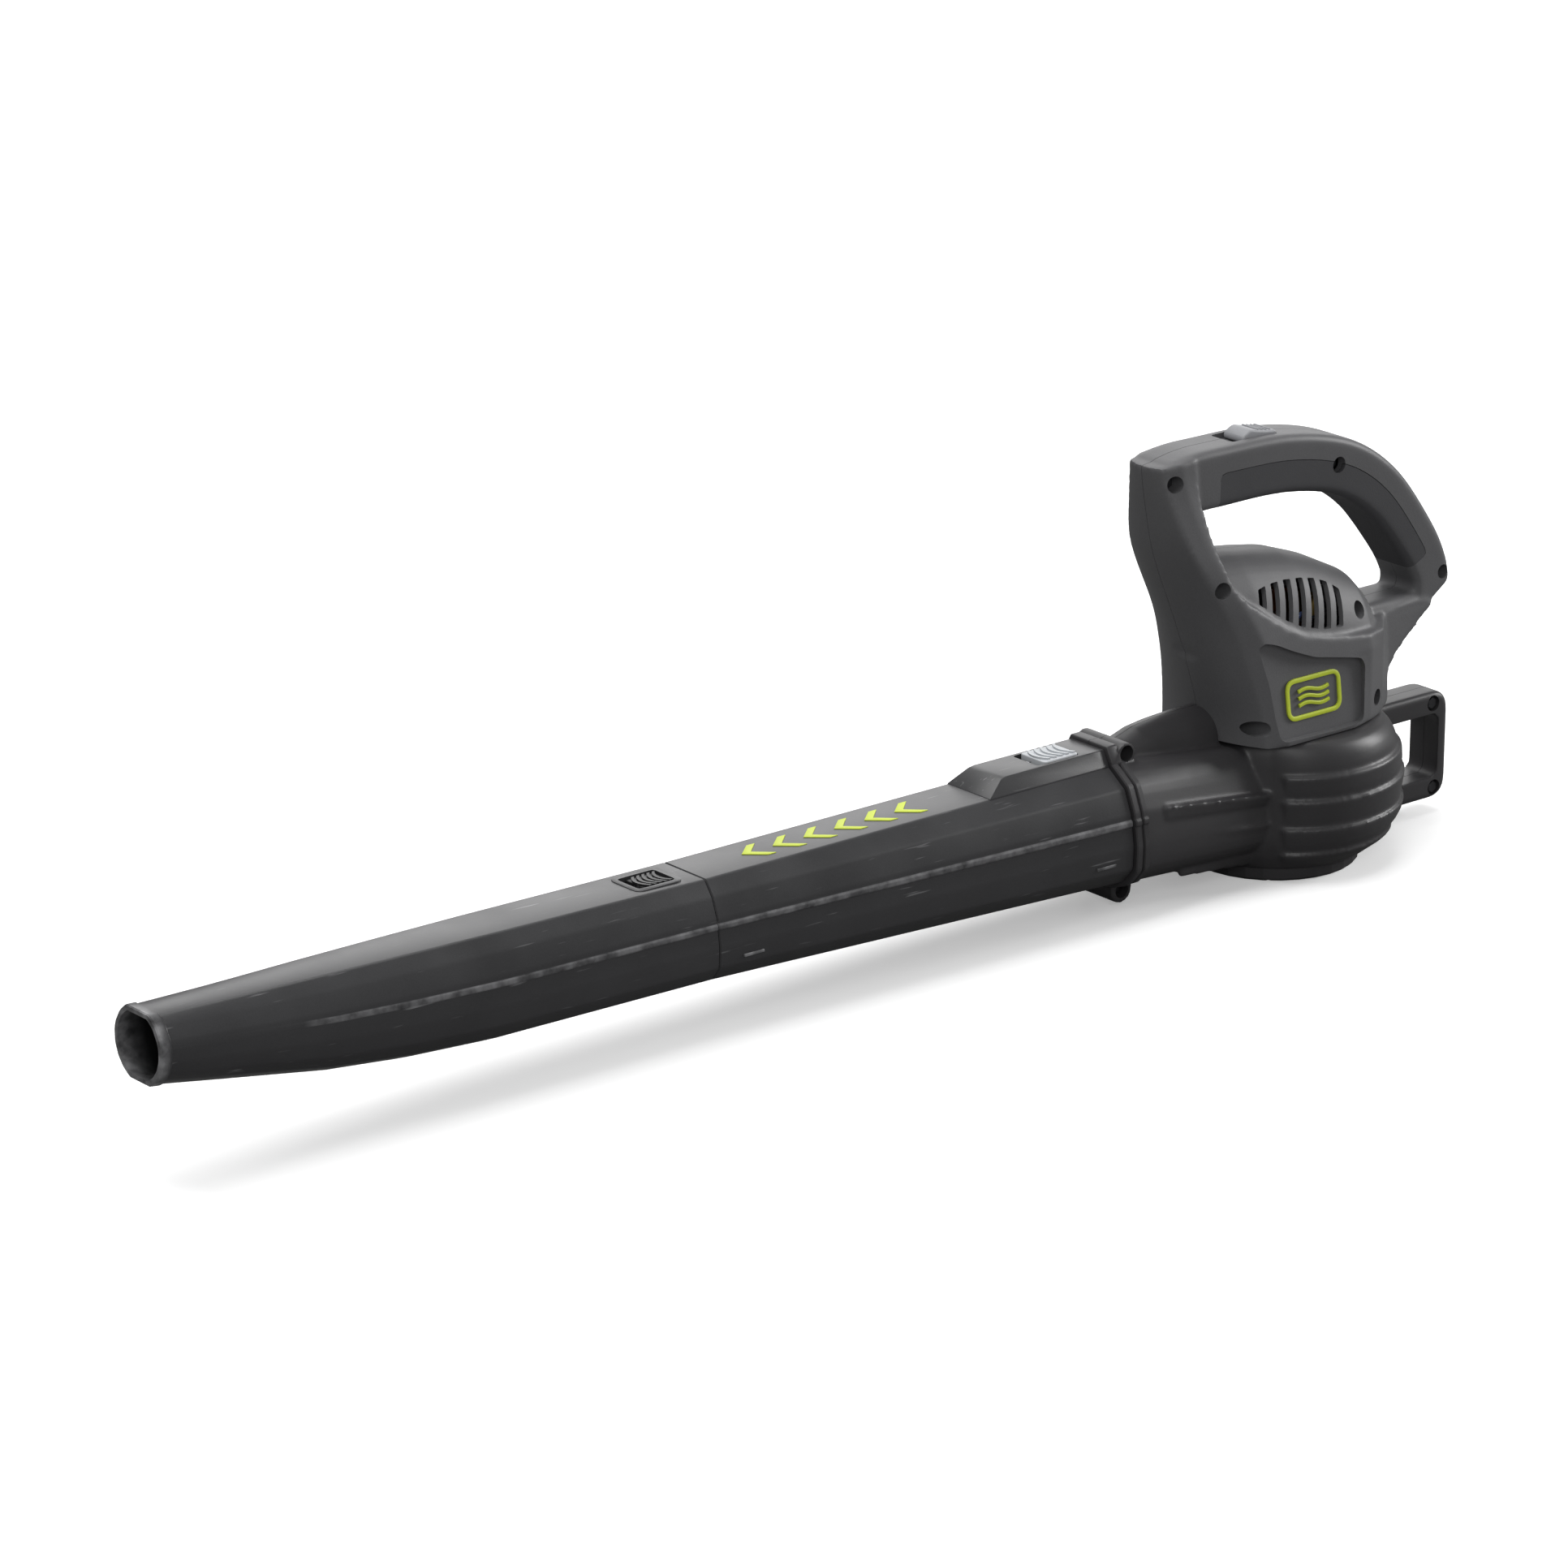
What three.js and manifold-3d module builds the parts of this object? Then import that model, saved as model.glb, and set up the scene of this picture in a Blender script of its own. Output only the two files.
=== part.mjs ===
// A corded hand-held leaf blower: two-piece air tube, fan housing, handle shells, intake grille and motor.
//
// Frame: millimetres, +Z up. The origin is on the motor axis, in the plane of the intake face that the
// blower stands on. The air leaves along -X, the handle is above, and the left side is -Y.

import * as THREE from 'three';
import { mergeVertices } from 'three/addons/utils/BufferGeometryUtils.js';
import Module from 'manifold-3d';

const wasm = await Module();
wasm.setup();

// ---------------------------------------------------------------- driving dimensions

const GAP = 0.3; // clearance between pieces that touch
const WALL = 2.4; // wall of the moulded shells
const FAR = 200; // reach of a cutting block

const tube = {
  collarX: -147, // where the upper tube meets the fan housing
  jointX: -443, // where the nozzle tube meets the upper tube
  noseX: -801, // the nozzle's open end
  rearHalf: 41,
  rearTop: 90,
  rearBottom: 19,
  jointHalf: 31,
  jointTop: 89.5,
  jointBottom: 29,
  noseRadius: 21,
  noseCentreZ: 76.5,
  flatHalf: 18, // half of the flat along the top
  wall: 2.2,
  spigot: 30, // how far one tube reaches into the next
  spigotGap: 0.5,
};

const upperLatch = { frontX: -190, rearX: -164, half: 10.5, travel: 5, height: 8.5 };
const latchBlock = { frontX: -222, ramp: 16, top: 99, topHalf: 13, footHalf: 18.5 };
const nozzleLatch = { frontX: -477, rearX: -457.5, half: 9.5, travel: 5, height: 5 };

const drum = { tongueRadius: 60, rearRadius: 84, farRadius: 76, bottom: 8.3, top: 85.7, floorRadius: 54, eyeRadius: 37 };
const duct = { drumX: -10, nearHalf: 41, farHalf: 74.5, top: 82, bottom: 10.5 };
const spine = { frontX: -142, rearX: -67, half: 24, top: 101 };
const rearLoop = { rearX: 134, top: 77, bottom: 9.5, half: 12, bar: 13.5, rearBar: 8 };

const tower = {
  footZ: 86,
  footFrontX: -61,
  footRearX: 67,
  footHalf: 52,
  neckFrontX: -111,
  plateRearX: 112,
};
const handle = {
  topZ: 262.5,
  rearX: 128,
  rearZ: 147,
  half: 17,
  rounding: 6,
  frontDepth: 36, // height of the grip at its front
  rearDepth: 28,
  wall: 6,
  gripThickness: 3,
  seamDepth: 15, // how far below the back of the handle the soft grip begins
};
const vents = {
  count: 7, shortest: 16, longest: 33, half: 2.6, lean: 19, frontX: -44, rearX: 20, frontZ: 170, rearZ: 156,
};
const dome = { topZ: 197, rearX: 66 };

const switchSlide = { frontX: -38.5, rearX: -12, half: 8.5, travel: 8, seatZ: handle.topZ - 3.5, humpZ: handle.topZ + 4 };
const inlet = { x: 88, z: 119.5, half: 11, halfY: 9, depth: 15, wall: 2.2, pinRadius: 1.6, pinSpacing: 10 };

const intake = { radius: 52, ring: 10, height: 8, grille: 3, hubRadius: 14, spokes: 6, spoke: 3, screwCircle: 47 };
const stator = { half: 27, bore: 19.5, bottom: 102, top: 142, boltSpread: 21.5, corner: 7 };
const coilWindow = { nearX: 15, farX: 24.4, nearY: 12, farY: 17.5 }; // one quarter of the stator's windows
const coil = { nearX: 20, farX: 24.1, nearY: 12.3, farY: 17.2, overhang: 5 };
const boltRadius = 2.1;
const rotor = { shaftRadius: 4, coreRadius: 18.8, slots: 8, commutatorRadius: 11, bottom: 24, top: 178 };
const capacitor = [-54, -41, -9, 9, 112, 138]; // low and high in X, Y and Z
const bearing = { radius: 11, height: 6.4 };
const impeller = { radius: 50, eye: 24, bottom: 26, top: 66, blades: 8, blade: 1.8, hubRadius: 9 };

const screwSize = { head: 3.5, headHeight: 2.6, shank: 1.75, seatY: -8, tipY: 10, boss: 6.2 };
const handleScrews = [[-99, 248], [31, 236], [120, 154], [-75, 184], [35, 151], [44, 97.5], [-51, 97.5]];
const housingScrews = [[-134, 95], [121, 70], [123.5, 16.5], [-134, 11.5]];

// ---------------------------------------------------------------- helpers

const flat = (x, y) => new THREE.Vector2(x, y);
const point = (x, y, z) => new THREE.Vector3(x, y, z);
const lerp = THREE.MathUtils.lerp;
const radians = THREE.MathUtils.degToRad;

// A closed solid from a closed geometry: welded, without empty triangles, and facing outwards.
function solid(geometry) {
  const bare = new THREE.BufferGeometry();
  bare.setAttribute('position', geometry.attributes.position);
  bare.setIndex(geometry.index);
  const welded = mergeVertices(bare, 1e-4);
  const corners = [0, 1, 2].map(() => new THREE.Vector3());
  const triangles = [];
  let volume = 0;
  for (let i = 0; i < welded.index.count; i += 3) {
    const ids = [0, 1, 2].map((k) => welded.index.getX(i + k));
    if (new Set(ids).size === 3) {
      triangles.push(ids);
      ids.forEach((id, k) => corners[k].fromBufferAttribute(welded.attributes.position, id));
      volume += corners[0].dot(corners[1].cross(corners[2]));
    }
  }
  const outward = volume < 0 ? triangles.map(([a, b, c]) => [a, c, b]) : triangles;
  return new wasm.Manifold(new wasm.Mesh({
    numProp: 3,
    vertProperties: new Float32Array(welded.attributes.position.array),
    triVerts: new Uint32Array(outward.flat()),
  }));
}

function geometryOf(body) {
  const mesh = body.getMesh();
  const geometry = new THREE.BufferGeometry();
  geometry.setAttribute('position', new THREE.BufferAttribute(mesh.vertProperties, 3));
  geometry.setIndex(new THREE.BufferAttribute(mesh.triVerts, 1));
  geometry.computeVertexNormals();
  return geometry;
}

const join = (...bodies) => bodies.reduce((sum, body) => sum.add(body));
const cut = (body, ...tools) => tools.reduce((rest, tool) => rest.subtract(tool), body);

// The frame of an outline that is pushed along an axis: across, up, and the way it is pushed.
const pushed = {
  x: [point(0, 1, 0), point(0, 0, 1), point(1, 0, 0)],
  y: [point(1, 0, 0), point(0, 0, 1), point(0, -1, 0)],
  z: [point(1, 0, 0), point(0, 1, 0), point(0, 0, 1)],
};

function prism(outline, axis, from, to, bevel = 0) {
  const geometry = new THREE.ExtrudeGeometry(new THREE.Shape(outline), {
    depth: to - from - 2 * bevel,
    bevelEnabled: bevel > 0,
    bevelThickness: bevel,
    bevelSize: bevel,
    bevelOffset: -bevel,
    bevelSegments: 2,
  });
  geometry.translate(0, 0, (axis === 'y' ? -to : from) + bevel);
  geometry.applyMatrix4(new THREE.Matrix4().makeBasis(...pushed[axis]));
  return solid(geometry);
}

function block(x0, x1, y0, y1, z0, z1) {
  const geometry = new THREE.BoxGeometry(x1 - x0, y1 - y0, z1 - z0);
  return solid(geometry.translate((x0 + x1) / 2, (y0 + y1) / 2, (z0 + z1) / 2));
}

// A round bar along an axis; its place is given by the other two coordinates, in X, Y, Z order.
function bar(axis, [a, b], radius, from, to, sides = 10) {
  const geometry = new THREE.CylinderGeometry(radius, radius, to - from, sides);
  const middle = (from + to) / 2;
  if (axis === 'x') geometry.rotateZ(Math.PI / 2).translate(middle, a, b);
  if (axis === 'y') geometry.translate(a, middle, b);
  if (axis === 'z') geometry.rotateX(Math.PI / 2).translate(a, b, middle);
  return solid(geometry);
}

// A turned piece about +Z, from [radius, z] corners that start and end on the axis or close on themselves.
function turned(profile, sides = 16) {
  const geometry = new THREE.LatheGeometry(profile.map(([r, z]) => flat(r, z)), sides);
  return solid(geometry.rotateX(Math.PI / 2));
}

function washer(inner, outer, bottom, top, sides = 16) {
  return turned([[inner, bottom], [outer, bottom], [outer, top], [inner, top], [inner, bottom]], sides);
}

// A skin over a row of rings of the same count: a cylinder whose corners are moved onto the rings.
function loft(rings) {
  const sides = rings[0].length;
  const levels = rings.length - 1;
  const geometry = new THREE.CylinderGeometry(1, 1, 1, sides, levels);
  const centres = rings.map((ring) => ring.reduce((sum, p) => sum.add(p), point(0, 0, 0)).divideScalar(sides));
  const position = geometry.attributes.position;
  const corner = point(0, 0, 0);
  for (let i = 0; i < position.count; i += 1) {
    corner.fromBufferAttribute(position, i);
    const level = Math.round((0.5 - corner.y) * levels);
    const turn = Math.atan2(corner.x, corner.z) / (2 * Math.PI);
    const side = (Math.round(turn * sides) + sides) % sides;
    const onAxis = Math.hypot(corner.x, corner.z) < 0.5;
    position.setXYZ(i, ...(onAxis ? centres[level] : rings[level][side]));
  }
  return solid(geometry);
}

// A round wire along a smooth route.
function wire(route, radius, steps, sides = 6) {
  const section = new THREE.Shape(Array.from({ length: sides }, (_, i) => {
    const turn = (2 * Math.PI * i) / sides;
    return flat(radius * Math.cos(turn), radius * Math.sin(turn));
  }));
  return solid(new THREE.ExtrudeGeometry(section, { steps, extrudePath: route }));
}

// The same outline, moved inwards by a distance (outwards if it is negative).
function inset(outline, distance) {
  const turnsLeft = !THREE.ShapeUtils.isClockWise(outline);
  const ring = turnsLeft ? outline : [...outline].reverse();
  return ring.map((here, i) => {
    const before = ring[(i + ring.length - 1) % ring.length];
    const after = ring[(i + 1) % ring.length];
    const arriving = here.clone().sub(before).normalize();
    const leaving = after.clone().sub(here).normalize();
    const miter = flat(-arriving.y - leaving.y, arriving.x + leaving.x).normalize();
    const stretch = Math.max(0.4, miter.dot(flat(-arriving.y, arriving.x)));
    return here.clone().addScaledVector(miter, distance / stretch);
  });
}

const leftOf = (body) => body.intersect(block(-4 * FAR, FAR, -FAR, -GAP / 2, -FAR, 2 * FAR));
const rightOf = (body) => body.intersect(block(-4 * FAR, FAR, GAP / 2, FAR, -FAR, 2 * FAR));

// ---------------------------------------------------------------- finishes and nodes

const finishes = {
  greyShell: { color: 0x5c5c5e, roughness: 0.55, metalness: 0 },
  darkShell: { color: 0x39373a, roughness: 0.5, metalness: 0 },
  tubePlastic: { color: 0x333335, roughness: 0.45, metalness: 0 },
  softGrip: { color: 0x3e3d40, roughness: 0.85, metalness: 0 },
  lightButton: { color: 0xb8bbbf, roughness: 0.5, metalness: 0 },
  blackButton: { color: 0x202022, roughness: 0.5, metalness: 0 },
  steel: { color: 0x9a9c9f, roughness: 0.35, metalness: 1 },
  lamination: { color: 0x55585c, roughness: 0.5, metalness: 1 },
  copper: { color: 0xb0643a, roughness: 0.4, metalness: 1 },
  brass: { color: 0xb59a56, roughness: 0.4, metalness: 1 },
  carbon: { color: 0x2a2a2c, roughness: 0.8, metalness: 0 },
  nylon: { color: 0x26272a, roughness: 0.5, metalness: 0 },
  leadJacket: { color: 0x2b4a8c, roughness: 0.6, metalness: 0 },
};

const blower = new THREE.Group();

function addNode(name, body, finish) {
  const mesh = new THREE.Mesh(geometryOf(body), new THREE.MeshStandardMaterial(finishes[finish]));
  mesh.name = name;
  blower.add(mesh);
}

// ---------------------------------------------------------------- the air passage's cross-section

// One side of the faceted section, from the edge of the top flat down to the bottom:
// [share of the half-width, share of the height].
const facets = [[0.785, 0.14], [0.93, 0.335], [1, 0.6], [0.985, 0.79], [0.78, 0.93], [0.46, 1]];

// A ring across the air passage: faceted where round is 0, an ellipse where it is 1.
function airRing({ x, half, farHalf = half, top, bottom, flatHalf, round }, inward = 0) {
  const height = top - bottom - 2 * inward;
  const corners = [[flatHalf / half, 0], ...facets];
  const oneSide = (reach) => corners.map(([across, down]) => (
    point(x, across * reach, top - inward - down * height)
  ));
  const faceted = [...oneSide(farHalf - inward), ...oneSide(inward - half).reverse()];
  return faceted.map((corner, i) => {
    const turn = ((2 * i + 1) * Math.PI) / faceted.length;
    const reach = (Math.sin(turn) > 0 ? farHalf : half) - inward;
    const ellipse = point(x, reach * Math.sin(turn), (top + bottom) / 2 + (height / 2) * Math.cos(turn));
    return corner.lerp(ellipse, round);
  });
}

// The tube's outer section at its stations, from the housing to the open end.
const noseLength = tube.jointX - tube.noseX;
const stations = [
  { x: tube.collarX, half: tube.rearHalf, top: tube.rearTop, bottom: tube.rearBottom, round: 0 },
  { x: tube.jointX, half: tube.jointHalf, top: tube.jointTop, bottom: tube.jointBottom, round: 0 },
  ...[[0.4, 0.15, 0.33, 0.05, 0.15], [0.56, 0.32, 0.5, 0.16, 0.3], [0.7, 0.5, 0.66, 0.34, 0.5],
    [0.87, 0.8, 0.85, 0.7, 0.85], [1, 1, 1, 1, 1]]
    .map(([along, narrowing, rise, belly, round]) => ({
      x: tube.jointX - along * noseLength,
      half: lerp(tube.jointHalf, tube.noseRadius, narrowing),
      top: lerp(tube.jointTop, tube.noseCentreZ + tube.noseRadius, rise),
      bottom: lerp(tube.jointBottom, tube.noseCentreZ - tube.noseRadius, belly),
      round,
    })),
].map((station) => ({ ...station, flatHalf: tube.flatHalf * Math.min(1, station.half / tube.jointHalf) }));

function tubeAt(x) {
  const next = Math.max(1, stations.findIndex((station) => station.x <= x + 1e-6));
  const [rear, front] = [stations[next - 1], stations[next]];
  const share = (x - rear.x) / (front.x - rear.x);
  const blend = (key) => lerp(rear[key], front[key], share);
  return {
    x, half: blend('half'), top: blend('top'), bottom: blend('bottom'),
    flatHalf: blend('flatHalf'), round: blend('round'),
  };
}

// A length of the tube's own shape, moved inwards all round.
function tubeLength(fromX, toX, inward) {
  const between = stations.map((station) => station.x).filter((x) => x < fromX - 1 && x > toX + 1);
  return loft([fromX, ...between, toX].map((x) => airRing(tubeAt(x), inward)));
}

// ---------------------------------------------------------------- air tubes and their latches

const spigotInset = tube.wall + tube.spigotGap;
const pocketGap = 0.5;

// The pocket that a latch button slides in, open upwards.
function latchPocket(latch, floorZ) {
  return block(
    latch.frontX - latch.travel - pocketGap, latch.rearX + pocketGap,
    -latch.half - pocketGap, latch.half + pocketGap, floorZ, FAR,
  );
}

// A ribbed sliding button with a tooth below it and a bore for its spring.
function latchButton(latch, floorZ) {
  const [front, rear] = [latch.frontX, latch.rearX];
  const top = floorZ + latch.height;
  const outline = [[front, floorZ], [rear, floorZ], [rear, top - 0.5], [front + 3, top], [front, top - 2]];
  const ribs = [0.25, 0.4, 0.55, 0.7, 0.85].map((share) => {
    const x = lerp(front, rear, share);
    return block(x - 1, x + 1, -latch.half * 0.8, latch.half * 0.8, top - 1.2, FAR);
  });
  const bodyOfButton = prism(outline.map(([x, z]) => flat(x, z)), 'y', -latch.half, latch.half);
  const spring = bar('x', [0, floorZ + latch.height / 2 - 0.3], springOf(latch) + GAP, front - 1, front + springBore);
  return cut(bodyOfButton, spring, ...ribs);
}

const springBore = 14;
const springOf = (latch) => latch.height * 0.26;

// A coil spring between the front wall of the pocket and the end of the button's bore.
function latchSpring(latch, floorZ) {
  const from = latch.frontX - latch.travel - pocketGap + GAP;
  const to = latch.frontX + springBore - GAP;
  const wireRadius = 0.4;
  const turns = 4;
  const radius = springOf(latch) - wireRadius;
  const centreZ = floorZ + latch.height / 2 - 0.3;
  const route = new THREE.CatmullRomCurve3(Array.from({ length: turns * 6 + 1 }, (_, i) => {
    const turn = (i * Math.PI) / 3;
    const x = lerp(from + wireRadius, to - wireRadius, i / (turns * 6));
    return point(x, radius * Math.cos(turn), centreZ + radius * Math.sin(turn));
  }));
  return wire(route, wireRadius, turns * 6, 4);
}

const upperFloor = tube.rearTop + 2; // floor of the upper latch's pocket
const nozzleFloor = tubeAt(nozzleLatch.rearX).top - nozzleLatch.height + 0.5;
const catchX = upperLatch.rearX - 3; // the housing's catch, which holds the upper tube
const catchSize = { half: 5, length: 6 };

function upperTube() {
  const rearX = tube.collarX - GAP;
  const spigotX = tube.jointX - tube.spigot;
  const outside = tubeLength(rearX, tube.jointX, 0);
  const { frontX, ramp, top, topHalf, footHalf } = latchBlock;
  const footZ = tube.rearTop - 6;
  const raised = prism([
    flat(frontX - ramp, footZ), flat(rearX, footZ), flat(rearX, top), flat(frontX, top),
    flat(frontX - ramp, tube.rearTop - 1),
  ], 'y', -footHalf, footHalf).intersect(prism([
    flat(-footHalf, footZ), flat(footHalf, footZ), flat(footHalf, tube.rearTop), flat(topHalf, top),
    flat(-topHalf, top), flat(-footHalf, tube.rearTop),
  ], 'x', frontX - ramp - 1, rearX));
  const spigot = tubeLength(tube.jointX + 1, spigotX, spigotInset);
  const rearBore = tubeLength(tube.collarX, tube.jointX + 4, tube.wall);
  const spigotBore = tubeLength(tube.jointX + 5, spigotX - 1, spigotInset + tube.wall);
  const throat = loft([
    airRing(tubeAt(tube.jointX + 4.5), tube.wall), airRing(tubeAt(tube.jointX + 3), spigotInset + tube.wall),
  ]);
  const windowLength = catchSize.length + 2 * pocketGap;
  const catchWindow = block(
    catchX - windowLength / 2, catchX + windowLength / 2,
    -catchSize.half - pocketGap, catchSize.half + pocketGap, tube.rearTop - 10, upperFloor + 1,
  );
  const padNotch = block(
    spigotX - 1, tube.jointX - GAP, -nozzleLatch.half - 3.5, nozzleLatch.half + 3.5, nozzleFloor - 3, FAR,
  );
  return cut(
    join(outside, raised, spigot), rearBore, spigotBore, throat, catchWindow,
    latchPocket(upperLatch, upperFloor), padNotch,
  );
}

function nozzleTube() {
  const outside = tubeLength(tube.jointX - GAP, tube.noseX, 0);
  const bore = tubeLength(tube.jointX, tube.noseX, tube.wall);
  const mouth = loft([
    airRing(tubeAt(tube.noseX + 0.5), tube.wall),
    airRing({ ...tubeAt(tube.noseX), x: tube.noseX - 1 }, tube.wall),
  ]);
  const pad = outside.intersect(block(
    nozzleLatch.frontX - nozzleLatch.travel - 5, tube.jointX - 1,
    -nozzleLatch.half - 3, nozzleLatch.half + 3, nozzleFloor - 2, FAR,
  ));
  const toothSlot = block(
    nozzleLatch.rearX - 9 - nozzleLatch.travel, nozzleLatch.rearX - 2, -4.5, 4.5, nozzleFloor - 9, nozzleFloor + 1,
  );
  return cut(join(cut(outside, bore, mouth), pad), latchPocket(nozzleLatch, nozzleFloor), toothSlot);
}

function addTubes() {
  const upperSeat = upperFloor + GAP;
  const nozzleSeat = nozzleFloor + GAP;
  const tooth = block(nozzleLatch.rearX - 8, nozzleLatch.rearX - 3, -4, 4, nozzleFloor - 5, nozzleSeat + 1);
  addNode('upper_tube', upperTube(), 'tubePlastic');
  addNode('nozzle_tube', nozzleTube(), 'tubePlastic');
  addNode('upper_latch_button', latchButton(upperLatch, upperSeat), 'lightButton');
  addNode('upper_latch_spring', latchSpring(upperLatch, upperSeat), 'steel');
  addNode('nozzle_latch_button', join(latchButton(nozzleLatch, nozzleSeat), tooth), 'blackButton');
  addNode('nozzle_latch_spring', latchSpring(nozzleLatch, nozzleSeat), 'steel');
}

// ---------------------------------------------------------------- screws between the two halves

// In the left half, a boss with a well for the screw's head; in the right half, a boss with a blind hole.
function screwBosses(places, outside) {
  return join(...places.map((place) => bar('y', place, screwSize.boss, -FAR, FAR))).intersect(outside);
}

function screwHoles(places) {
  return join(...places.flatMap((place) => [
    bar('y', place, screwSize.head + 0.8, -FAR, screwSize.seatY),
    bar('y', place, screwSize.shank + GAP, screwSize.seatY - 1, screwSize.tipY + 1, 8),
  ]));
}

// A screw with its head's seat at the origin and its shank along +Z.
function screw(length) {
  const { head, headHeight, shank } = screwSize;
  return turned([[0, -headHeight], [head, -headHeight], [head, 0], [shank, 0], [shank, length], [0, length]], 6);
}

function addScrews(prefix, places) {
  const shankLength = screwSize.tipY - screwSize.seatY;
  places.forEach(([x, z], i) => {
    const placed = screw(shankLength).rotate([-90, 0, 0]).translate([x, screwSize.seatY - GAP, z]);
    addNode(`${prefix}_${i + 1}`, placed, 'steel');
  });
}

// ---------------------------------------------------------------- fan housing

// The scroll's radius: it grows from the tongue on the left, round the rear, to the far side.
function scrollRadius(angle) {
  const swept = (angle + 135 + 720) % 360;
  if (swept < 145) return lerp(drum.tongueRadius, drum.rearRadius, swept / 145);
  if (swept < 225) return lerp(drum.rearRadius, drum.farRadius, (swept - 145) / 80);
  return lerp(drum.farRadius, drum.tongueRadius, (swept - 225) / 135);
}

// The drum's outline up its height: [share of the height, share of the scroll's full width].
const drumSteps = [[0, 0.2], [0.1, 0.65], [0.2, 0.9], [0.33, 1], [0.56, 1], [0.82, 0.9], [0.94, 0.62], [1, 0.3]];

function drumRing([share, spread], inward, bottom, top) {
  const sides = 36;
  return Array.from({ length: sides }, (_, i) => {
    const angle = (360 * i) / sides;
    const radius = lerp(drum.floorRadius, scrollRadius(angle), spread) - inward;
    return point(radius * Math.cos(radians(angle)), radius * Math.sin(radians(angle)), lerp(bottom, top, share));
  });
}

// The duct's sections, from the collar back to the middle of the drum.
function ductStations(share) {
  return {
    x: lerp(tube.collarX, duct.drumX, share),
    half: lerp(tube.rearHalf + 1, duct.nearHalf, share),
    farHalf: lerp(tube.rearHalf + 1, duct.farHalf, share),
    top: lerp(tube.rearTop + 1, duct.top, share),
    bottom: lerp(tube.rearBottom - 1, duct.bottom, share),
    flatHalf: lerp(tube.flatHalf + 2, duct.nearHalf * 0.75, share),
    round: 0,
  };
}

function ductBody(inward) {
  return loft([0, 0.3, 1].map((share) => airRing(ductStations(share), inward)));
}

function rearLoopBody() {
  const { rearX, top, bottom, half, bar: barHeight, rearBar } = rearLoop;
  const outside = [flat(50, bottom), flat(rearX - 10, bottom), flat(rearX, bottom + 9), flat(rearX, top - 18),
    flat(rearX - 12, top), flat(50, top)];
  const inside = [flat(20, bottom + barHeight), flat(rearX - rearBar - 8, bottom + barHeight),
    flat(rearX - rearBar, bottom + barHeight + 8), flat(rearX - rearBar, top - barHeight - 12),
    flat(rearX - rearBar - 12, top - barHeight), flat(20, top - barHeight)];
  return cut(prism(outside, 'y', -half, half, 3), prism(inside, 'y', -FAR, FAR));
}

function fanHousing() {
  const { bottom, top } = drum;
  const drumOutside = loft(drumSteps.map((step) => drumRing(step, 0, bottom, top)));
  const collar = loft([tube.collarX, tube.collarX + 8].map((x) => (
    airRing({ ...tubeAt(tube.collarX), x }, -2.5)
  )));
  const collarBlock = block(
    tube.collarX, tube.collarX + 8, -latchBlock.footHalf - 2, latchBlock.footHalf + 2,
    tube.rearTop - 6, latchBlock.top + 2,
  );
  const ridge = prism([
    flat(spine.frontX, tube.rearTop - 6), flat(spine.rearX, duct.top - 8), flat(spine.rearX, spine.top - 4),
    flat(spine.rearX - 8, spine.top), flat(spine.frontX + 30, spine.top), flat(spine.frontX, spine.top - 1.5),
  ], 'y', -spine.half, spine.half, 2);
  const [lobeX, lobeZ] = housingScrews[3];
  const lobe = join(
    bar('y', [lobeX, lobeZ], 8, -17, 17, 16),
    block(lobeX - 8, lobeX + 8, -17, 17, lobeZ, tube.rearBottom + 4),
  );
  const motorRing = washer(stator.half + 7.5, stator.half + 9.5, top - 3, top + 7, 24);
  const skin = join(drumOutside, ductBody(0), collar, collarBlock, ridge, lobe, rearLoopBody());

  const chamber = loft(drumSteps.map((step) => drumRing(step, WALL, bottom + WALL, top - WALL - 1)));
  const bore = ductBody(WALL);
  const spigotFront = tube.collarX - tube.spigot;
  const spigot = tubeLength(tube.collarX - 1e-3, spigotFront, spigotInset);
  const spigotJoin = loft([
    airRing(tubeAt(tube.collarX - 1), spigotInset), airRing({ ...tubeAt(tube.collarX), x: tube.collarX + 3 }, 0),
  ]);
  const spigotBore = tubeLength(tube.collarX - 1e-3, spigotFront - 1, spigotInset + WALL);
  const throat = loft([
    airRing(tubeAt(tube.collarX - 2), spigotInset + WALL),
    airRing({ ...tubeAt(tube.collarX), x: tube.collarX + 6 }, spigotInset + WALL),
  ]);
  const holder = block(
    catchX - catchSize.length / 2, catchX + catchSize.length / 2,
    -catchSize.half, catchSize.half, tube.rearTop - tube.wall - 3, tube.rearTop + 0.5,
  );
  const coverPlaces = coverScrewPlaces();
  const coverBosses = join(...coverPlaces.map((place) => bar('z', place, 4.5, bottom + 0.5, bottom + 9)));
  const coverHoles = join(...coverPlaces.map((place) => bar('z', place, screwSize.shank + GAP, 0, bottom + 8, 8)));
  const eye = bar('z', [0, 0], drum.eyeRadius, 0, bottom + WALL + 1, 24);
  const shaftHole = bar('z', [0, 0], 16, top - 10, top + 3, 16);

  const hollow = cut(join(cut(skin, chamber, bore), spigot, spigotJoin, holder), spigotBore, throat);
  const finished = cut(
    join(hollow, motorRing, coverBosses, screwBosses(housingScrews, cut(skin, bore))),
    coverHoles, eye, shaftHole, screwHoles(housingScrews),
  );
  return finished;
}

function addHousing() {
  const housing = fanHousing();
  addNode('fan_housing_left', leftOf(housing), 'darkShell');
  addNode('fan_housing_right', rightOf(housing), 'darkShell');
  addScrews('housing_screw', housingScrews);
}

// ---------------------------------------------------------------- intake cover

function coverScrewPlaces() {
  return [45, 135, 225, 315].map((angle) => [
    intake.screwCircle * Math.cos(radians(angle)), intake.screwCircle * Math.sin(radians(angle)),
  ]);
}

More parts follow.
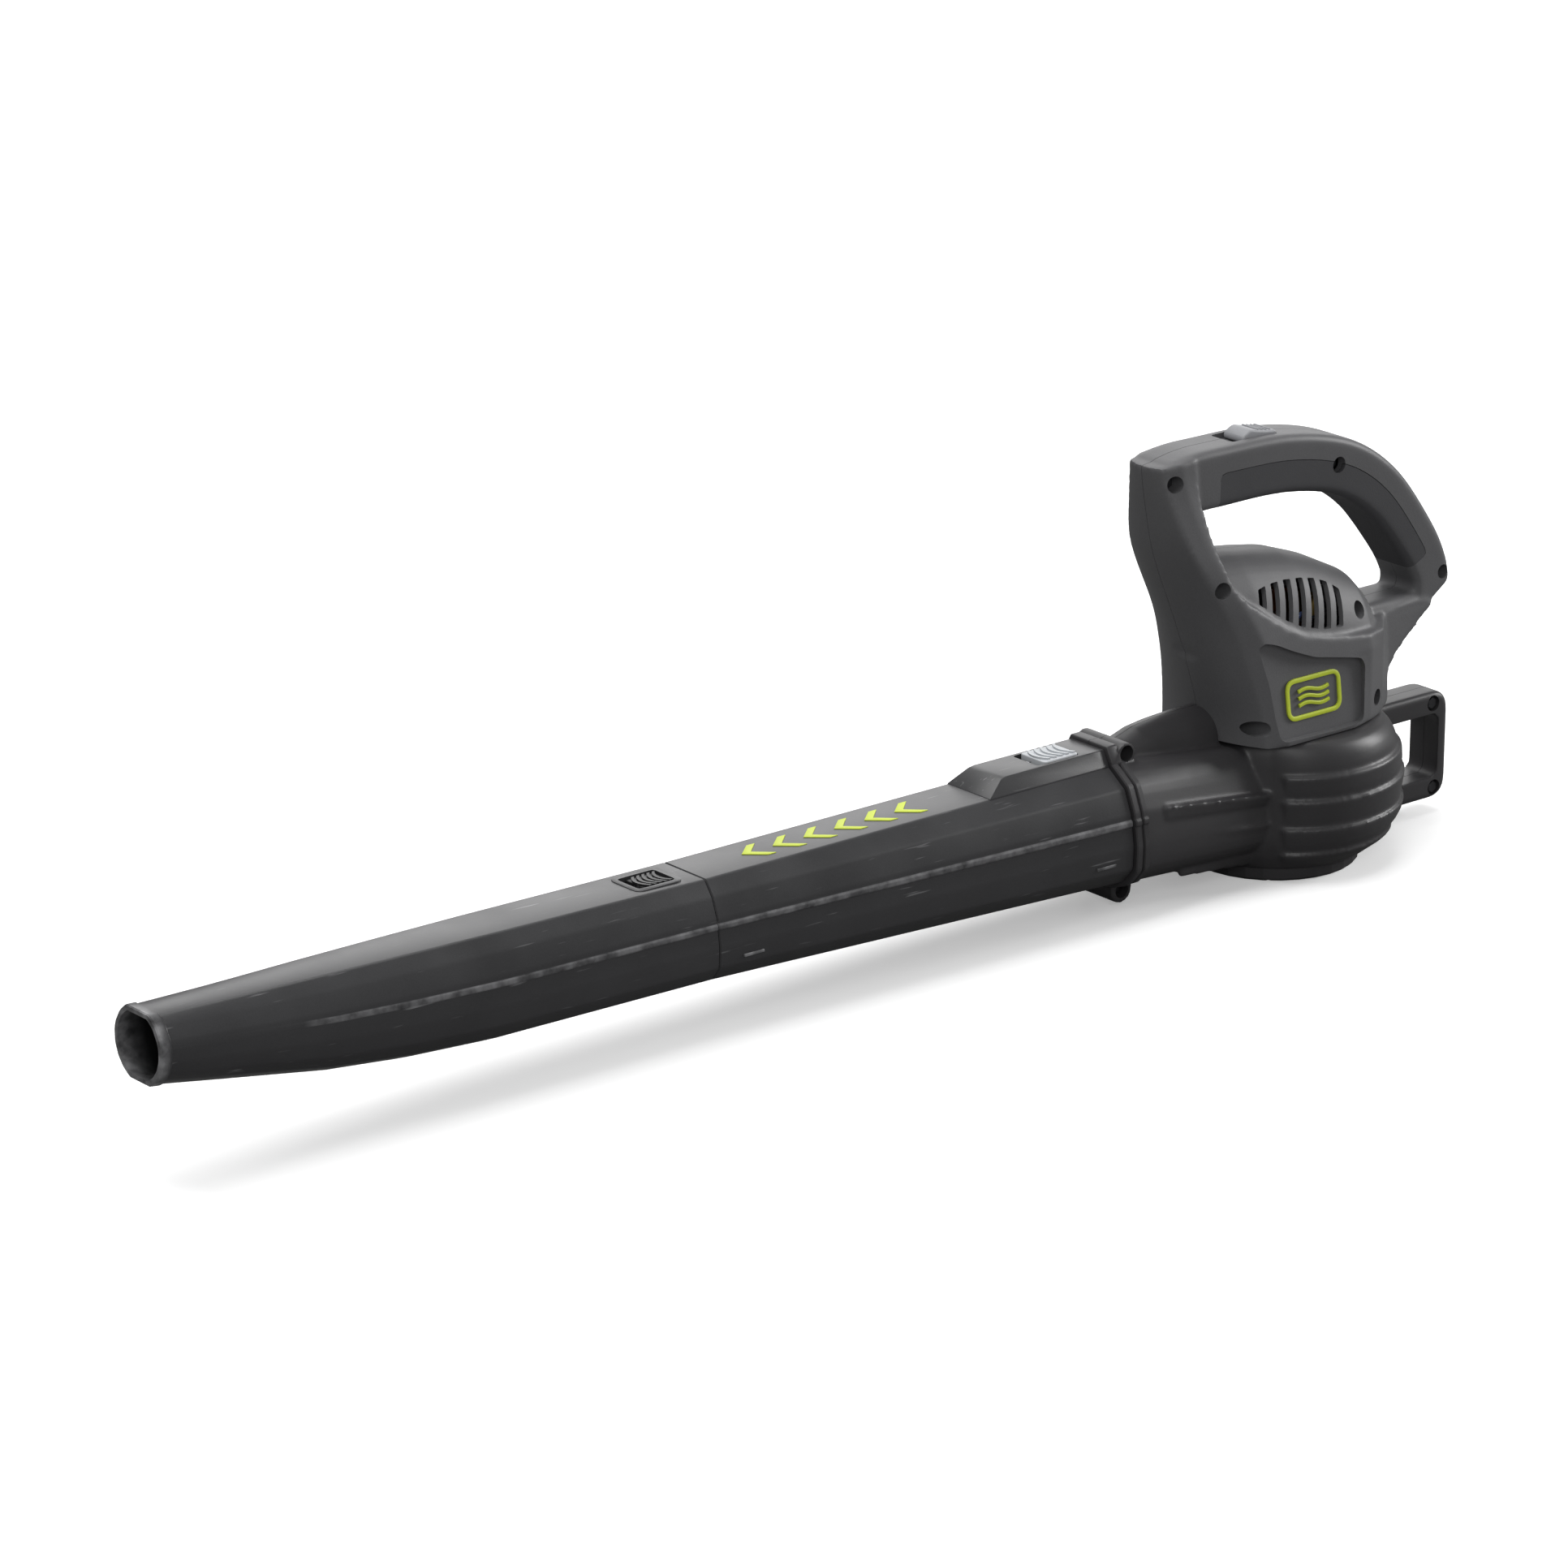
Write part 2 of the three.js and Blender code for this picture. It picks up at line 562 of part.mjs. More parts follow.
function intakeCover() {
  const { radius, ring, height, grille, hubRadius, spokes, spoke } = intake;
  const inner = radius - ring;
  const rim = turned([[inner, 0], [radius - 1.5, 0], [radius, 1.5], [radius, height], [inner, height], [inner, 0]], 30);
  const hub = bar('z', [0, 0], hubRadius, 0, grille, 16);
  const rings = [0.36, 0.7].map((share) => {
    const middle = lerp(hubRadius, inner, share);
    return washer(middle - 1, middle + 1, 0, grille, 20);
  });
  const arms = Array.from({ length: spokes }, (_, i) => (
    block(hubRadius - 2, inner + 2, -spoke / 2, spoke / 2, 0, grille).rotate([0, 0, (360 * (i + 0.5)) / spokes])
  ));
  const holes = coverScrewPlaces().flatMap((place) => [
    bar('z', place, screwSize.head + 0.4, -1, grille + 1, 8),
    bar('z', place, screwSize.shank + GAP, 0, height + 1, 8),
  ]);
  return cut(join(rim, hub, ...rings, ...arms), ...holes);
}

function addIntake() {
  addNode('intake_cover', intakeCover(), 'darkShell');
  coverScrewPlaces().forEach(([x, y], i) => {
    addNode(`cover_screw_${i + 1}`, screw(11).translate([x, y, intake.grille + 1 - GAP]), 'steel');
  });
}

// ---------------------------------------------------------------- handle and motor shells

// The back of the handle, from the front of the neck over the top to the rear corner.
const handleBack = new THREE.SplineCurve([
  flat(tower.neckFrontX, handle.topZ - 5),
  flat(tower.neckFrontX + 26, handle.topZ - 0.5),
  flat(tower.neckFrontX + 51, handle.topZ),
  flat(tower.neckFrontX + 106, handle.topZ - 2),
  flat(handle.rearX - 84, handle.topZ - 14),
  flat(handle.rearX - 47, handle.topZ - 38),
  flat(handle.rearX - 17, handle.topZ - 75),
  flat(handle.rearX - 4, handle.rearZ + 17),
  flat(handle.rearX, handle.rearZ),
]);
const holeStart = 0.125;
const holeEnd = 0.965;

function belowBack(share, depth) {
  const here = handleBack.getPointAt(share);
  const along = handleBack.getTangentAt(share);
  return flat(here.x + along.y * depth, here.y - along.x * depth);
}

const gripDepth = (share) => lerp(handle.frontDepth, handle.rearDepth, share * share);
const sharesFrom = (from, to, steps) => Array.from({ length: steps + 1 }, (_, i) => lerp(from, to, i / steps));

const waist = [flat(tower.footRearX + 10, tower.footZ + 26), flat(tower.footRearX + 1, tower.footZ + 15)];

function loopOutline() {
  const back = sharesFrom(0, 1, 14).map((share) => belowBack(share, 0));
  const underside = sharesFrom(holeEnd, holeStart, 10).map((share) => belowBack(share, gripDepth(share)));
  const floorZ = underside[0].y - 6;
  return [
    ...back, waist[0], flat(waist[0].x - 25, waist[0].y), flat(waist[0].x - 25, floorZ),
    flat(underside[0].x, floorZ), ...underside, flat(tower.neckFrontX + 14, underside.at(-1).y),
  ];
}

// The front of the tower, from its foot up to the neck.
const towerFront = new THREE.SplineCurve([
  flat(tower.footFrontX, tower.footZ + 12),
  flat(tower.footFrontX - 4, tower.footZ + 36),
  flat(tower.footFrontX - 18, tower.footZ + 66),
  flat(tower.footFrontX - 35, tower.footZ + 102),
  flat(tower.neckFrontX + 4, handle.topZ - 34),
  flat(tower.neckFrontX, handle.topZ - 5),
]);

// The side plate: the tower's front, the neck, and the low arc that runs back to the handle's rear.
function plateOutline(footZ) {
  const [rearWaist, lowWaist] = waist;
  return [
    flat(tower.footFrontX, footZ), ...towerFront.getPoints(9),
    flat(tower.neckFrontX + 39, handle.topZ - 0.5), belowBack(holeStart, gripDepth(holeStart)),
    flat(tower.neckFrontX + 35, handle.topZ - 87), flat(tower.footFrontX + 4, tower.footZ + 76),
    flat(tower.footFrontX + 40, tower.footZ + 59), flat(tower.footFrontX + 80, tower.footZ + 52),
    flat(tower.footRearX - 7, tower.footZ + 51), flat(tower.plateRearX - 14, tower.footZ + 54),
    flat(tower.plateRearX, tower.footZ + 50), rearWaist, lowWaist, flat(tower.footRearX, footZ),
  ];
}

function domeOutline(footZ) {
  const back = new THREE.SplineCurve([
    flat(dome.rearX - 132, dome.topZ + 6), flat(dome.rearX - 114, dome.topZ), flat(dome.rearX - 76, dome.topZ - 6),
    flat(dome.rearX - 50, dome.topZ - 15), flat(dome.rearX - 23, dome.topZ - 28), flat(dome.rearX - 9, dome.topZ - 42),
    flat(dome.rearX, dome.topZ - 60),
  ]);
  return [flat(tower.footFrontX + 4, footZ), flat(tower.footFrontX - 16, dome.topZ - 20),
    flat(dome.rearX - 142, dome.topZ + 4), ...back.getPoints(9), flat(dome.rearX - 4, footZ)];
}

// The tower's sections up its height: [z above the foot, nose X, ridge X, ridge's half-width, side's half-width].
const towerSections = [
  [-4, -61, -48, 45, 51], [14, -61, -49, 44, 50.5], [40, -69, -55, 39.5, 47], [71, -80, -65, 35.5, 41],
  [110, -97, -88, 30, 32], [125, -102, -96, 26, 28], [161, -109, -105.5, 14, 18], [185, -111, -108, 12, 17],
];

// Half-widths of the dome, up its height: [z above the foot, half].
const domeWidths = [[40, 44], [57, 41], [79, 36], [95, 28], [104, 20], [109, 12], [117, 4]];

// The front is a blunt nose: a curve from the split line out to a ridge, where the side begins.
function towerRing([up, noseX, ridgeX, ridgeHalf, sideHalf], inward) {
  const nose = [0.35, 0.7, 1].map((share) => [
    lerp(noseX, ridgeX, share * share) + inward, (ridgeHalf - inward * 0.7) * share,
  ]);
  const side = [...nose, [ridgeX + 12, sideHalf - inward], [tower.plateRearX + 20, sideHalf - inward]];
  const ring = [...[...side].reverse().map(([x, y]) => [x, -y]), [noseX + inward, 0], ...side];
  return ring.map(([x, y]) => point(x, y, tower.footZ + up));
}

function frontOutline(widths, footZ, footHalf) {
  const side = [[footZ, footHalf], ...widths.map(([up, half]) => [tower.footZ + up, half * (tower.footHalf / 52)])];
  return [...side.map(([z, y]) => flat(y, z)), ...side.reverse().map(([z, y]) => flat(-y, z))];
}

function planOutline() {
  const side = [[-125, 62], [20, 62], [34, 47], [50, 38], [66, 24], [72, 18], [135, 18]];
  return [...side.map(([x, y]) => flat(x, -y)), ...side.reverse().map(([x, y]) => flat(x, y))];
}

function towerBody(inward, footZ) {
  const plan = prism(inset(planOutline(), inward), 'z', 0, 2 * FAR);
  const side = (outline) => prism(inset(outline, inward), 'y', -FAR, FAR);
  const nose = loft(towerSections.map((section) => towerRing(section, inward)));
  const dome = prism(inset(frontOutline(domeWidths, footZ, tower.footHalf - 7), inward), 'x', -FAR, FAR);
  return join(side(plateOutline(footZ)), side(domeOutline(footZ)).intersect(dome)).intersect(nose).intersect(plan);
}

function loopBody(inward, bevel) {
  return prism(inset(loopOutline(), inward), 'y', inward - handle.half, handle.half - inward, bevel);
}

// The region of the handle that the soft grip covers, seen from the side.
function gripRegion() {
  const [from, to] = [0.165, 0.9];
  const seam = sharesFrom(from, to, 10).map((share) => belowBack(share, handle.seamDepth));
  const under = sharesFrom(to - 0.01, from + 0.01, 10).map((share) => belowBack(share, gripDepth(share) + 6));
  return [...seam, ...under];
}

function gripInsert(growth) {
  const region = prism(inset(gripRegion(), -growth), 'y', -FAR, FAR);
  return loopBody(-growth, handle.rounding).intersect(region).subtract(loopBody(handle.gripThickness + growth, 0));
}

// Seven slanted slots on each side of the dome, longest in the middle.
function ventSlots() {
  return Array.from({ length: vents.count }, (_, i) => {
    const share = i / (vents.count - 1);
    const length = lerp(vents.shortest, vents.longest, Math.sin(Math.PI * share));
    const x = lerp(vents.frontX, vents.rearX, share);
    const z = lerp(vents.frontZ, vents.rearZ, share);
    return [-1, 1].map((side) => (
      block(-vents.half, vents.half, side > 0 ? 20 : -60, side > 0 ? 60 : -20, -length / 2, length / 2)
        .rotate([0, vents.lean, 0]).translate([x, 0, z])
    ));
  }).flat();
}

// The power inlet's own frame: along its face, outwards from its face, in the XZ plane.
const faceAlong = flat(handle.rearX, handle.rearZ).sub(waist[0]).normalize();
const faceOut = flat(faceAlong.y, -faceAlong.x);
const inletPoint = (along, out) => flat(inlet.x, inlet.z)
  .addScaledVector(faceAlong, along).addScaledVector(faceOut, out);

function inletBlock(half, halfY, inner, outer) {
  const outline = [inletPoint(-half, inner), inletPoint(half, inner), inletPoint(half, outer), inletPoint(-half, outer)];
  return prism(outline, 'y', -halfY, halfY);
}

// Chosen routes of the three leads: inlet to switch, inlet to the right brush, switch to the left brush.
const [leadEndX, leadEndZ] = [-48, handle.topZ - 16.5]; // where the leads meet the switch
const leadRoutes = {
  live: [[76, -3, 133], [62, -14, 126], [36, -35, 118], [0, -41, 113], [-36, -38, 112], [-56, -22, 120],
    [-62, -14, 134], [-70, -6, 152], [-87, -3, 188], [-88, -3, 214], [-76, -3, leadEndZ - 8], [leadEndX, -3, leadEndZ]],
  neutral: [[76, 3, 133], [62, 13, 128], [40, 30, 128], [21, 34, 145], [8, 32, 158]],
  motor: [[leadEndX, 3, leadEndZ], [-76, 3, leadEndZ - 8], [-88, 3, 214], [-87, 3, 188], [-75, 0, 162], [-50, -16, 152],
    [-28, -31, 150], [-9, -30, 157]],
};

function lead(name, steps) {
  return wire(new THREE.CatmullRomCurve3(leadRoutes[name].map((place) => point(...place))), 1.4, steps);
}

const switchBox = { frontX: -44, rearX: -14, half: 8, bottom: handle.topZ - 23, top: handle.topZ - 11.5 };
const stem = { frontX: -30, rearX: -22, half: 3.5 };

function switchCuts() {
  const { frontX, rearX, half, travel, seatZ } = switchSlide;
  const recess = block(frontX - travel - 1, rearX + 0.6, -half - 0.6, half + 0.6, seatZ, FAR * 2);
  const slot = block(stem.frontX - travel - 0.6, stem.rearX + 0.6, -stem.half - 0.6, stem.half + 0.6, switchBox.top + 2, FAR * 2);
  return join(recess, slot);
}

function handleShell() {
  const { footZ } = tower;
  const outside = join(towerBody(0, footZ), loopBody(0, handle.rounding));
  const hollow = join(towerBody(WALL, footZ - 20), loopBody(handle.wall, 0));
  const shell = join(cut(outside, hollow), screwBosses(handleScrews, outside));
  return cut(
    shell, screwHoles(handleScrews), gripInsert(GAP), switchCuts(),
    inletBlock(inlet.half + GAP, inlet.halfY + GAP, -inlet.depth - GAP, FAR / 4), ...ventSlots(),
  );
}

function addHandle() {
  const shell = handleShell();
  addNode('handle_shell_left', leftOf(shell), 'greyShell');
  addNode('handle_shell_right', rightOf(shell), 'greyShell');
  addNode('grip_insert', gripInsert(0), 'softGrip');
  addScrews('handle_screw', handleScrews);
}

// ---------------------------------------------------------------- switch, inlet and leads

function addElectrics() {
  const { frontX, rearX, half, seatZ, humpZ } = switchSlide;
  const seat = seatZ + GAP;
  const thumb = prism([
    flat(frontX, seat), flat(rearX, seat), flat(rearX, seat + 1.6), flat(rearX - 8, seat + 3.2),
    flat(frontX + 11, humpZ - 1.2), flat(frontX + 7, humpZ), flat(frontX + 2.5, seat + 4), flat(frontX, seat + 1.5),
  ], 'y', -half, half, 0.6);
  const post = block(stem.frontX, stem.rearX, -stem.half, stem.half, switchBox.top + GAP, seat + 2);
  const foot = block(stem.frontX - 2, stem.rearX + 2, -stem.half - 3, stem.half + 3, switchBox.top + GAP, switchBox.top + 2.5);
  addNode('switch_button', join(thumb, post, foot), 'lightButton');
  addNode('switch_body', block(
    switchBox.frontX, switchBox.rearX, -switchBox.half, switchBox.half, switchBox.bottom, switchBox.top,
  ), 'nylon');
  addNode('suppression_capacitor', block(...capacitor), 'lightButton');

  const socket = inletBlock(inlet.half - inlet.wall, inlet.halfY - inlet.wall, inlet.wall - inlet.depth, FAR / 4);
  const pinPlaces = [-1, 1].map((side) => (side * inlet.pinSpacing) / 2);
  const pin = (along, radius, inner, outer) => {
    const middle = inletPoint(along, (inner + outer) / 2);
    const geometry = new THREE.CylinderGeometry(radius, radius, outer - inner, 10);
    geometry.rotateZ(0).rotateX(Math.PI / 2).rotateY(Math.PI - Math.atan2(faceOut.x, -faceOut.y));
    return solid(geometry.translate(middle.x, 0, middle.y));
  };
  const inletShell = cut(
    inletBlock(inlet.half, inlet.halfY, -inlet.depth, -1), socket,
    ...pinPlaces.map((along) => pin(along, inlet.pinRadius + GAP, -inlet.depth - 2, 0)),
  );
  addNode('power_inlet', inletShell, 'nylon');
  ['inlet_pin_live', 'inlet_pin_neutral'].forEach((name, i) => {
    addNode(name, pin(pinPlaces[i], inlet.pinRadius, -inlet.depth - 1, -4), 'brass');
  });
  addNode('lead_live', lead('live', 28), 'leadJacket');
  addNode('lead_neutral', lead('neutral', 12), 'leadJacket');
  addNode('lead_motor', lead('motor', 22), 'leadJacket');
}

// ---------------------------------------------------------------- motor

const boltPlaces = [[1, 1], [-1, 1], [-1, -1], [1, -1]].map(([x, y]) => [x * stator.boltSpread, y * stator.boltSpread]);
const plateZ = stator.top + 8; // underside of the upper bracket's plate
const lowerPlateTop = drum.top + GAP + 8;
const upperBearingZ = rotor.top - bearing.height - 0.5;

function statorCore() {
  const { half, bore, bottom, top, corner } = stator;
  const outline = [
    flat(half - corner, -half), flat(half, corner - half), flat(half, half - corner), flat(half - corner, half),
    flat(corner - half, half), flat(-half, half - corner), flat(-half, corner - half), flat(corner - half, -half),
  ];
  const windows = [[1, 1], [1, -1], [-1, 1], [-1, -1]].map(([x, y]) => {
    const [nearX, farX] = [coilWindow.nearX * x, coilWindow.farX * x].sort((a, b) => a - b);
    const [nearY, farY] = [coilWindow.nearY * y, coilWindow.farY * y].sort((a, b) => a - b);
    return block(nearX, farX, nearY, farY, bottom - 1, top + 1);
  });
  const bolts = boltPlaces.map((place) => bar('z', place, boltRadius, bottom - 1, top + 1, 6));
  return cut(prism(outline, 'z', bottom, top), bar('z', [0, 0], bore, bottom - 1, top + 1, 20), ...windows, ...bolts);
}

// A field coil: a frame whose legs pass through the stator's windows beside one pole.
function fieldCoil(side) {
  const { bottom, top } = stator;
  const { nearX, farX, nearY, farY, overhang } = coil;
  const [x0, x1] = [side * nearX, side * farX].sort((a, b) => a - b);
  const outer = block(x0, x1, -farY, farY, bottom - overhang, top + overhang);
  return cut(outer, block(x0 - 1, x1 + 1, -nearY, nearY, bottom - GAP, top + GAP));
}

function lowerBracket() {
  const seat = drum.top + GAP;
  const plate = bar('z', [0, 0], stator.half + 7, seat, lowerPlateTop, 24);
  const posts = boltPlaces.map((place) => bar('z', place, 3.5, seat + 1, stator.bottom - GAP));
  const pocket = bar('z', [0, 0], bearing.radius + GAP, lowerPlateTop - bearing.height, FAR, 16);
  const bolts = boltPlaces.map((place) => bar('z', place, boltRadius, seat + 3, stator.bottom + 1, 8));
  const airHoles = [0, 90, 180, 270].map((angle) => (
    bar('z', [19 * Math.cos(radians(angle)), 19 * Math.sin(radians(angle))], 5, 0, FAR, 8)
  ));
  return cut(
    join(plate, ...posts), pocket, bar('z', [0, 0], rotor.shaftRadius + 2, 0, FAR), ...bolts, ...airHoles,
  );
}

function upperBracket() {
  const plate = block(-26, 26, -26, 26, plateZ, plateZ + 3);
  const posts = boltPlaces.map((place) => bar('z', place, 3.5, stator.top + GAP, plateZ + 1));
  const bridgeZ = upperBearingZ - 2;
  const uprights = [-1, 1].map((side) => {
    const [x0, x1] = [side * 12.5, side * 16].sort((a, b) => a - b);
    return block(x0, x1, -6, 6, plateZ + 1, bridgeZ + 3);
  });
  const bridge = join(
    bar('z', [0, 0], bearing.radius + 3, bridgeZ, rotor.top + 1.5, 16), block(-16, 16, -6, 6, bridgeZ, bridgeZ + 4),
  );
  const bolts = boltPlaces.map((place) => bar('z', place, boltRadius, stator.top - 1, plateZ + 5, 8));
  return cut(
    join(plate, ...posts, bridge, ...uprights),
    bar('z', [0, 0], rotor.commutatorRadius + 1.2, plateZ - 1, bridgeZ - 0.01, 16),
    bar('z', [0, 0], bearing.radius + GAP, bridgeZ - 1, upperBearingZ + bearing.height + GAP, 16), ...bolts,
  );
}

function bearingRing(bottom) {
  return washer(rotor.shaftRadius + GAP, bearing.radius, bottom, bottom + bearing.height);
}

const brush = { halfX: 3, height: 7.5, length: 13 };
const brushZ = plateZ + 3 + 2.6;

// A brush and its holder are made on the right and mirrored to the left.
function brushBlock(side, halfX, from, to, bottom, top) {
  const [y0, y1] = [side * from, side * to].sort((a, b) => a - b);
  return block(-halfX, halfX, y0, y1, bottom, top);
}

function brushHolder(side) {
  const outside = brushBlock(side, brush.halfX + 2.3, 13.5, 29, plateZ + 3 + GAP, brushZ + brush.height + 2.3);
  return cut(outside, brushBlock(side, brush.halfX + GAP, 0, 27.5, brushZ - GAP, brushZ + brush.height + GAP));
}

function motorBolt([x, y]) {
  return screw(plateZ + 3 - lowerPlateTop + 4).rotate([180, 0, 0]).translate([x, y, plateZ + 3 + GAP]);
}

function addMotor() {
  addNode('motor_bracket_lower', lowerBracket(), 'nylon');
  addNode('motor_bracket_upper', upperBracket(), 'nylon');
  addNode('stator_core', statorCore(), 'lamination');
  addNode('field_coil_front', fieldCoil(-1), 'copper');
  addNode('field_coil_rear', fieldCoil(1), 'copper');
  addNode('bearing_lower', bearingRing(lowerPlateTop - bearing.height + GAP), 'steel');
  addNode('bearing_upper', bearingRing(upperBearingZ), 'steel');
  [['left', -1], ['right', 1]].forEach(([name, side]) => {
    const reach = rotor.commutatorRadius + GAP;
    addNode(`brush_holder_${name}`, brushHolder(side), 'brass');
    addNode(`brush_${name}`, brushBlock(side, brush.halfX, reach, reach + brush.length, brushZ, brushZ + brush.height),
      'carbon');
  });
  addNode('motor_bolt_1', motorBolt(boltPlaces[0]), 'steel');
  addNode('motor_bolt_2', motorBolt(boltPlaces[2]), 'steel');
}

// ---------------------------------------------------------------- rotor

const slotReach = [11, 16];

function slotBars(width, bottom, top, reach) {
  return Array.from({ length: rotor.slots }, (_, i) => (
    block(slotReach[0], reach, -width / 2, width / 2, bottom, top).rotate([0, 0, (360 * i) / rotor.slots])
  ));
}

function armatureCore() {
  const { shaftRadius, coreRadius } = rotor;
  const core = washer(shaftRadius + GAP, coreRadius, stator.bottom, stator.top, 24);
  return cut(core, ...slotBars(4, stator.bottom - 1, stator.top + 1, coreRadius + 2));
}

// Two end turns joined by the wire that lies in the core's slots.
function armatureWindings() {
  const { bottom, top } = stator;
  const lower = washer(7, 16.5, bottom - 5, bottom - GAP);
  const upper = washer(7, 16.5, top + GAP, top + 6);
  return join(lower, upper, ...slotBars(3.4, bottom - 1, top + 1, slotReach[1]).map((leg) => (
    leg.subtract(bar('z', [0, 0], slotReach[0] + GAP, bottom - 0.2, top + 0.2, 16))
  )));
}

function impellerBody() {
  const { radius, eye, bottom, top, blades, blade, hubRadius } = impeller;
  const disc = turned([[rotor.shaftRadius + GAP, top - 2.4], [radius, top - 2.4], [radius, top],
    [rotor.shaftRadius + GAP, top], [rotor.shaftRadius + GAP, top - 2.4]], 24);
  const hub = washer(rotor.shaftRadius + GAP, hubRadius, bottom + 14, top - 1);
  // A blade sweeps back as it goes out: its middle line leaves the eye and turns by the sweep angle.
  const sweep = radians(38);
  const middle = new THREE.SplineCurve(sharesFrom(0, 1, 5).map((share) => {
    const angle = sweep * share * share;
    const reach = lerp(eye, radius, share);
    return flat(reach * Math.cos(angle), reach * Math.sin(angle));
  }));
  const beside = (share, distance) => {
    const along = middle.getTangentAt(share);
    return middle.getPointAt(share).add(flat(-along.y * distance, along.x * distance));
  };
  const ahead = sharesFrom(0, 1, 3).map((share) => beside(share, blade / 2));
  const behind = sharesFrom(1, 0, 3).map((share) => beside(share, -blade / 2));
  const oneBlade = prism([...ahead, ...behind], 'z', bottom, top - 1);
  return join(disc, hub, ...Array.from({ length: blades }, (_, i) => oneBlade.rotate([0, 0, (360 * i) / blades])));
}

function addRotor() {
  const { shaftRadius, bottom, top, commutatorRadius } = rotor;
  const hubBottom = impeller.bottom + 14;
  addNode('rotor_shaft', bar('z', [0, 0], shaftRadius, bottom, top - 1, 16), 'steel');
  addNode('armature_core', armatureCore(), 'lamination');
  addNode('armature_windings', armatureWindings(), 'copper');
  addNode('commutator', washer(shaftRadius + GAP, commutatorRadius, plateZ - 0.5, upperBearingZ - 5), 'copper');
  addNode('impeller', impellerBody(), 'nylon');
  addNode('impeller_washer', washer(shaftRadius + GAP, 8, hubBottom - GAP - 1.5, hubBottom - GAP), 'steel');
  const nutTop = hubBottom - 1.5 - 2 * GAP;
  const nut = bar('z', [0, 0], 6.5, nutTop - 5.5, nutTop, 6);
  addNode('impeller_nut', cut(nut, bar('z', [0, 0], shaftRadius + GAP, nutTop - 7, nutTop + 1, 16)), 'steel');
}

// ---------------------------------------------------------------- the whole blower

addTubes();
addHousing();
addIntake();
addHandle();
addElectrics();
addMotor();
addRotor();

export default blower;
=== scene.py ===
"""The leaf blower's visual model: moulded shells, air tubes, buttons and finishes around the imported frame."""
import logging
import math
from dataclasses import dataclass, field
from enum import Enum
from typing import Callable, Sequence

import bpy
import numpy as np
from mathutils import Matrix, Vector

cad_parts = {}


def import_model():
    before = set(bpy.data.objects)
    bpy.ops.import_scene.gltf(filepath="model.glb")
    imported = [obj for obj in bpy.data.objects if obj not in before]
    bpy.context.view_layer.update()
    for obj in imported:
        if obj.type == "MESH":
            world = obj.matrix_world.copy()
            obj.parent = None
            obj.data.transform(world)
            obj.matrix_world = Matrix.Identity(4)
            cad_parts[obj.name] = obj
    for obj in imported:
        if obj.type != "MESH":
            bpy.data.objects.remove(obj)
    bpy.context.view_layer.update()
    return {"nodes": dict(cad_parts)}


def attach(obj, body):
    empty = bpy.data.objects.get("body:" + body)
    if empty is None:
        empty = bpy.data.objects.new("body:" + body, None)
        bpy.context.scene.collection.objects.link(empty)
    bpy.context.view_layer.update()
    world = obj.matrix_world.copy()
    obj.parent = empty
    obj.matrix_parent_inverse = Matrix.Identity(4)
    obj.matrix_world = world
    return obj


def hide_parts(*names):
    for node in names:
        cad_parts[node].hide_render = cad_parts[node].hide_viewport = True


LOG = logging.getLogger("leaf_blower")
MM = 0.001
SEAM = 0.16  # half the gap between two moulded halves
FAR = 400.0  # further than any piece reaches
SIDES = ("left", "right")
Point = tuple[float, float, float]
Flat = tuple[float, float]
Obj = bpy.types.Object


# ---------------------------------------------------------------- modelling tools


class Cut(Enum):
    """How one solid acts on another."""

    TAKE = "DIFFERENCE"
    ADD = "UNION"
    KEEP = "INTERSECT"


def deselect() -> None:
    """Leave nothing selected."""
    if bpy.context.object and bpy.context.object.mode != "OBJECT":
        bpy.ops.object.mode_set(mode="OBJECT")
    bpy.ops.object.select_all(action="DESELECT")


def pick(obj: Obj) -> Obj:
    """Make one object the only selected and active one.

    Args:
        obj: the piece.

    Returns:
        The same object.
    """
    deselect()
    obj.select_set(True)
    bpy.context.view_layer.objects.active = obj
    return obj


def settle(obj: Obj) -> Obj:
    """Put an object's place into its mesh.

    Args:
        obj: the piece.

    Returns:
        The same object.
    """
    pick(obj)
    bpy.ops.object.transform_apply(location=True, rotation=True, scale=True)
    return obj


def skin(name: str, rings: Sequence[Sequence[Point]], closed: bool = False) -> Obj:
    """A closed skin over rows of points, each row a ring of the same count.

    Args:
        name: the piece's name.
        rings: the rows, in millimetres.
        closed: whether the last row joins the first.

    Returns:
        The new object.
    """
    rows = np.array(list(rings) + ([rings[0]] if closed else []), float)
    levels, sides = rows.shape[0] - 1, rows.shape[1]
    deselect()
    bpy.ops.mesh.primitive_grid_add(x_subdivisions=levels, y_subdivisions=sides, size=2)
    obj = bpy.context.object
    obj.name = obj.data.name = name
    places = np.empty(len(obj.data.vertices) * 3)
    obj.data.vertices.foreach_get("co", places)
    places = places.reshape(-1, 3)
    level = np.rint((places[:, 0] + 1) / 2 * levels).astype(int)
    side = np.rint((places[:, 1] + 1) / 2 * sides).astype(int) % sides
    obj.data.vertices.foreach_set("co", (rows[level, side] * MM).ravel())
    bpy.ops.object.mode_set(mode="EDIT")
    bpy.ops.mesh.select_all(action="SELECT")
    bpy.ops.mesh.remove_doubles(threshold=1e-6)
    bpy.ops.mesh.fill_holes(sides=0)
    bpy.ops.mesh.select_all(action="SELECT")
    bpy.ops.mesh.normals_make_consistent(inside=False)
    bpy.ops.object.mode_set(mode="OBJECT")
    return obj


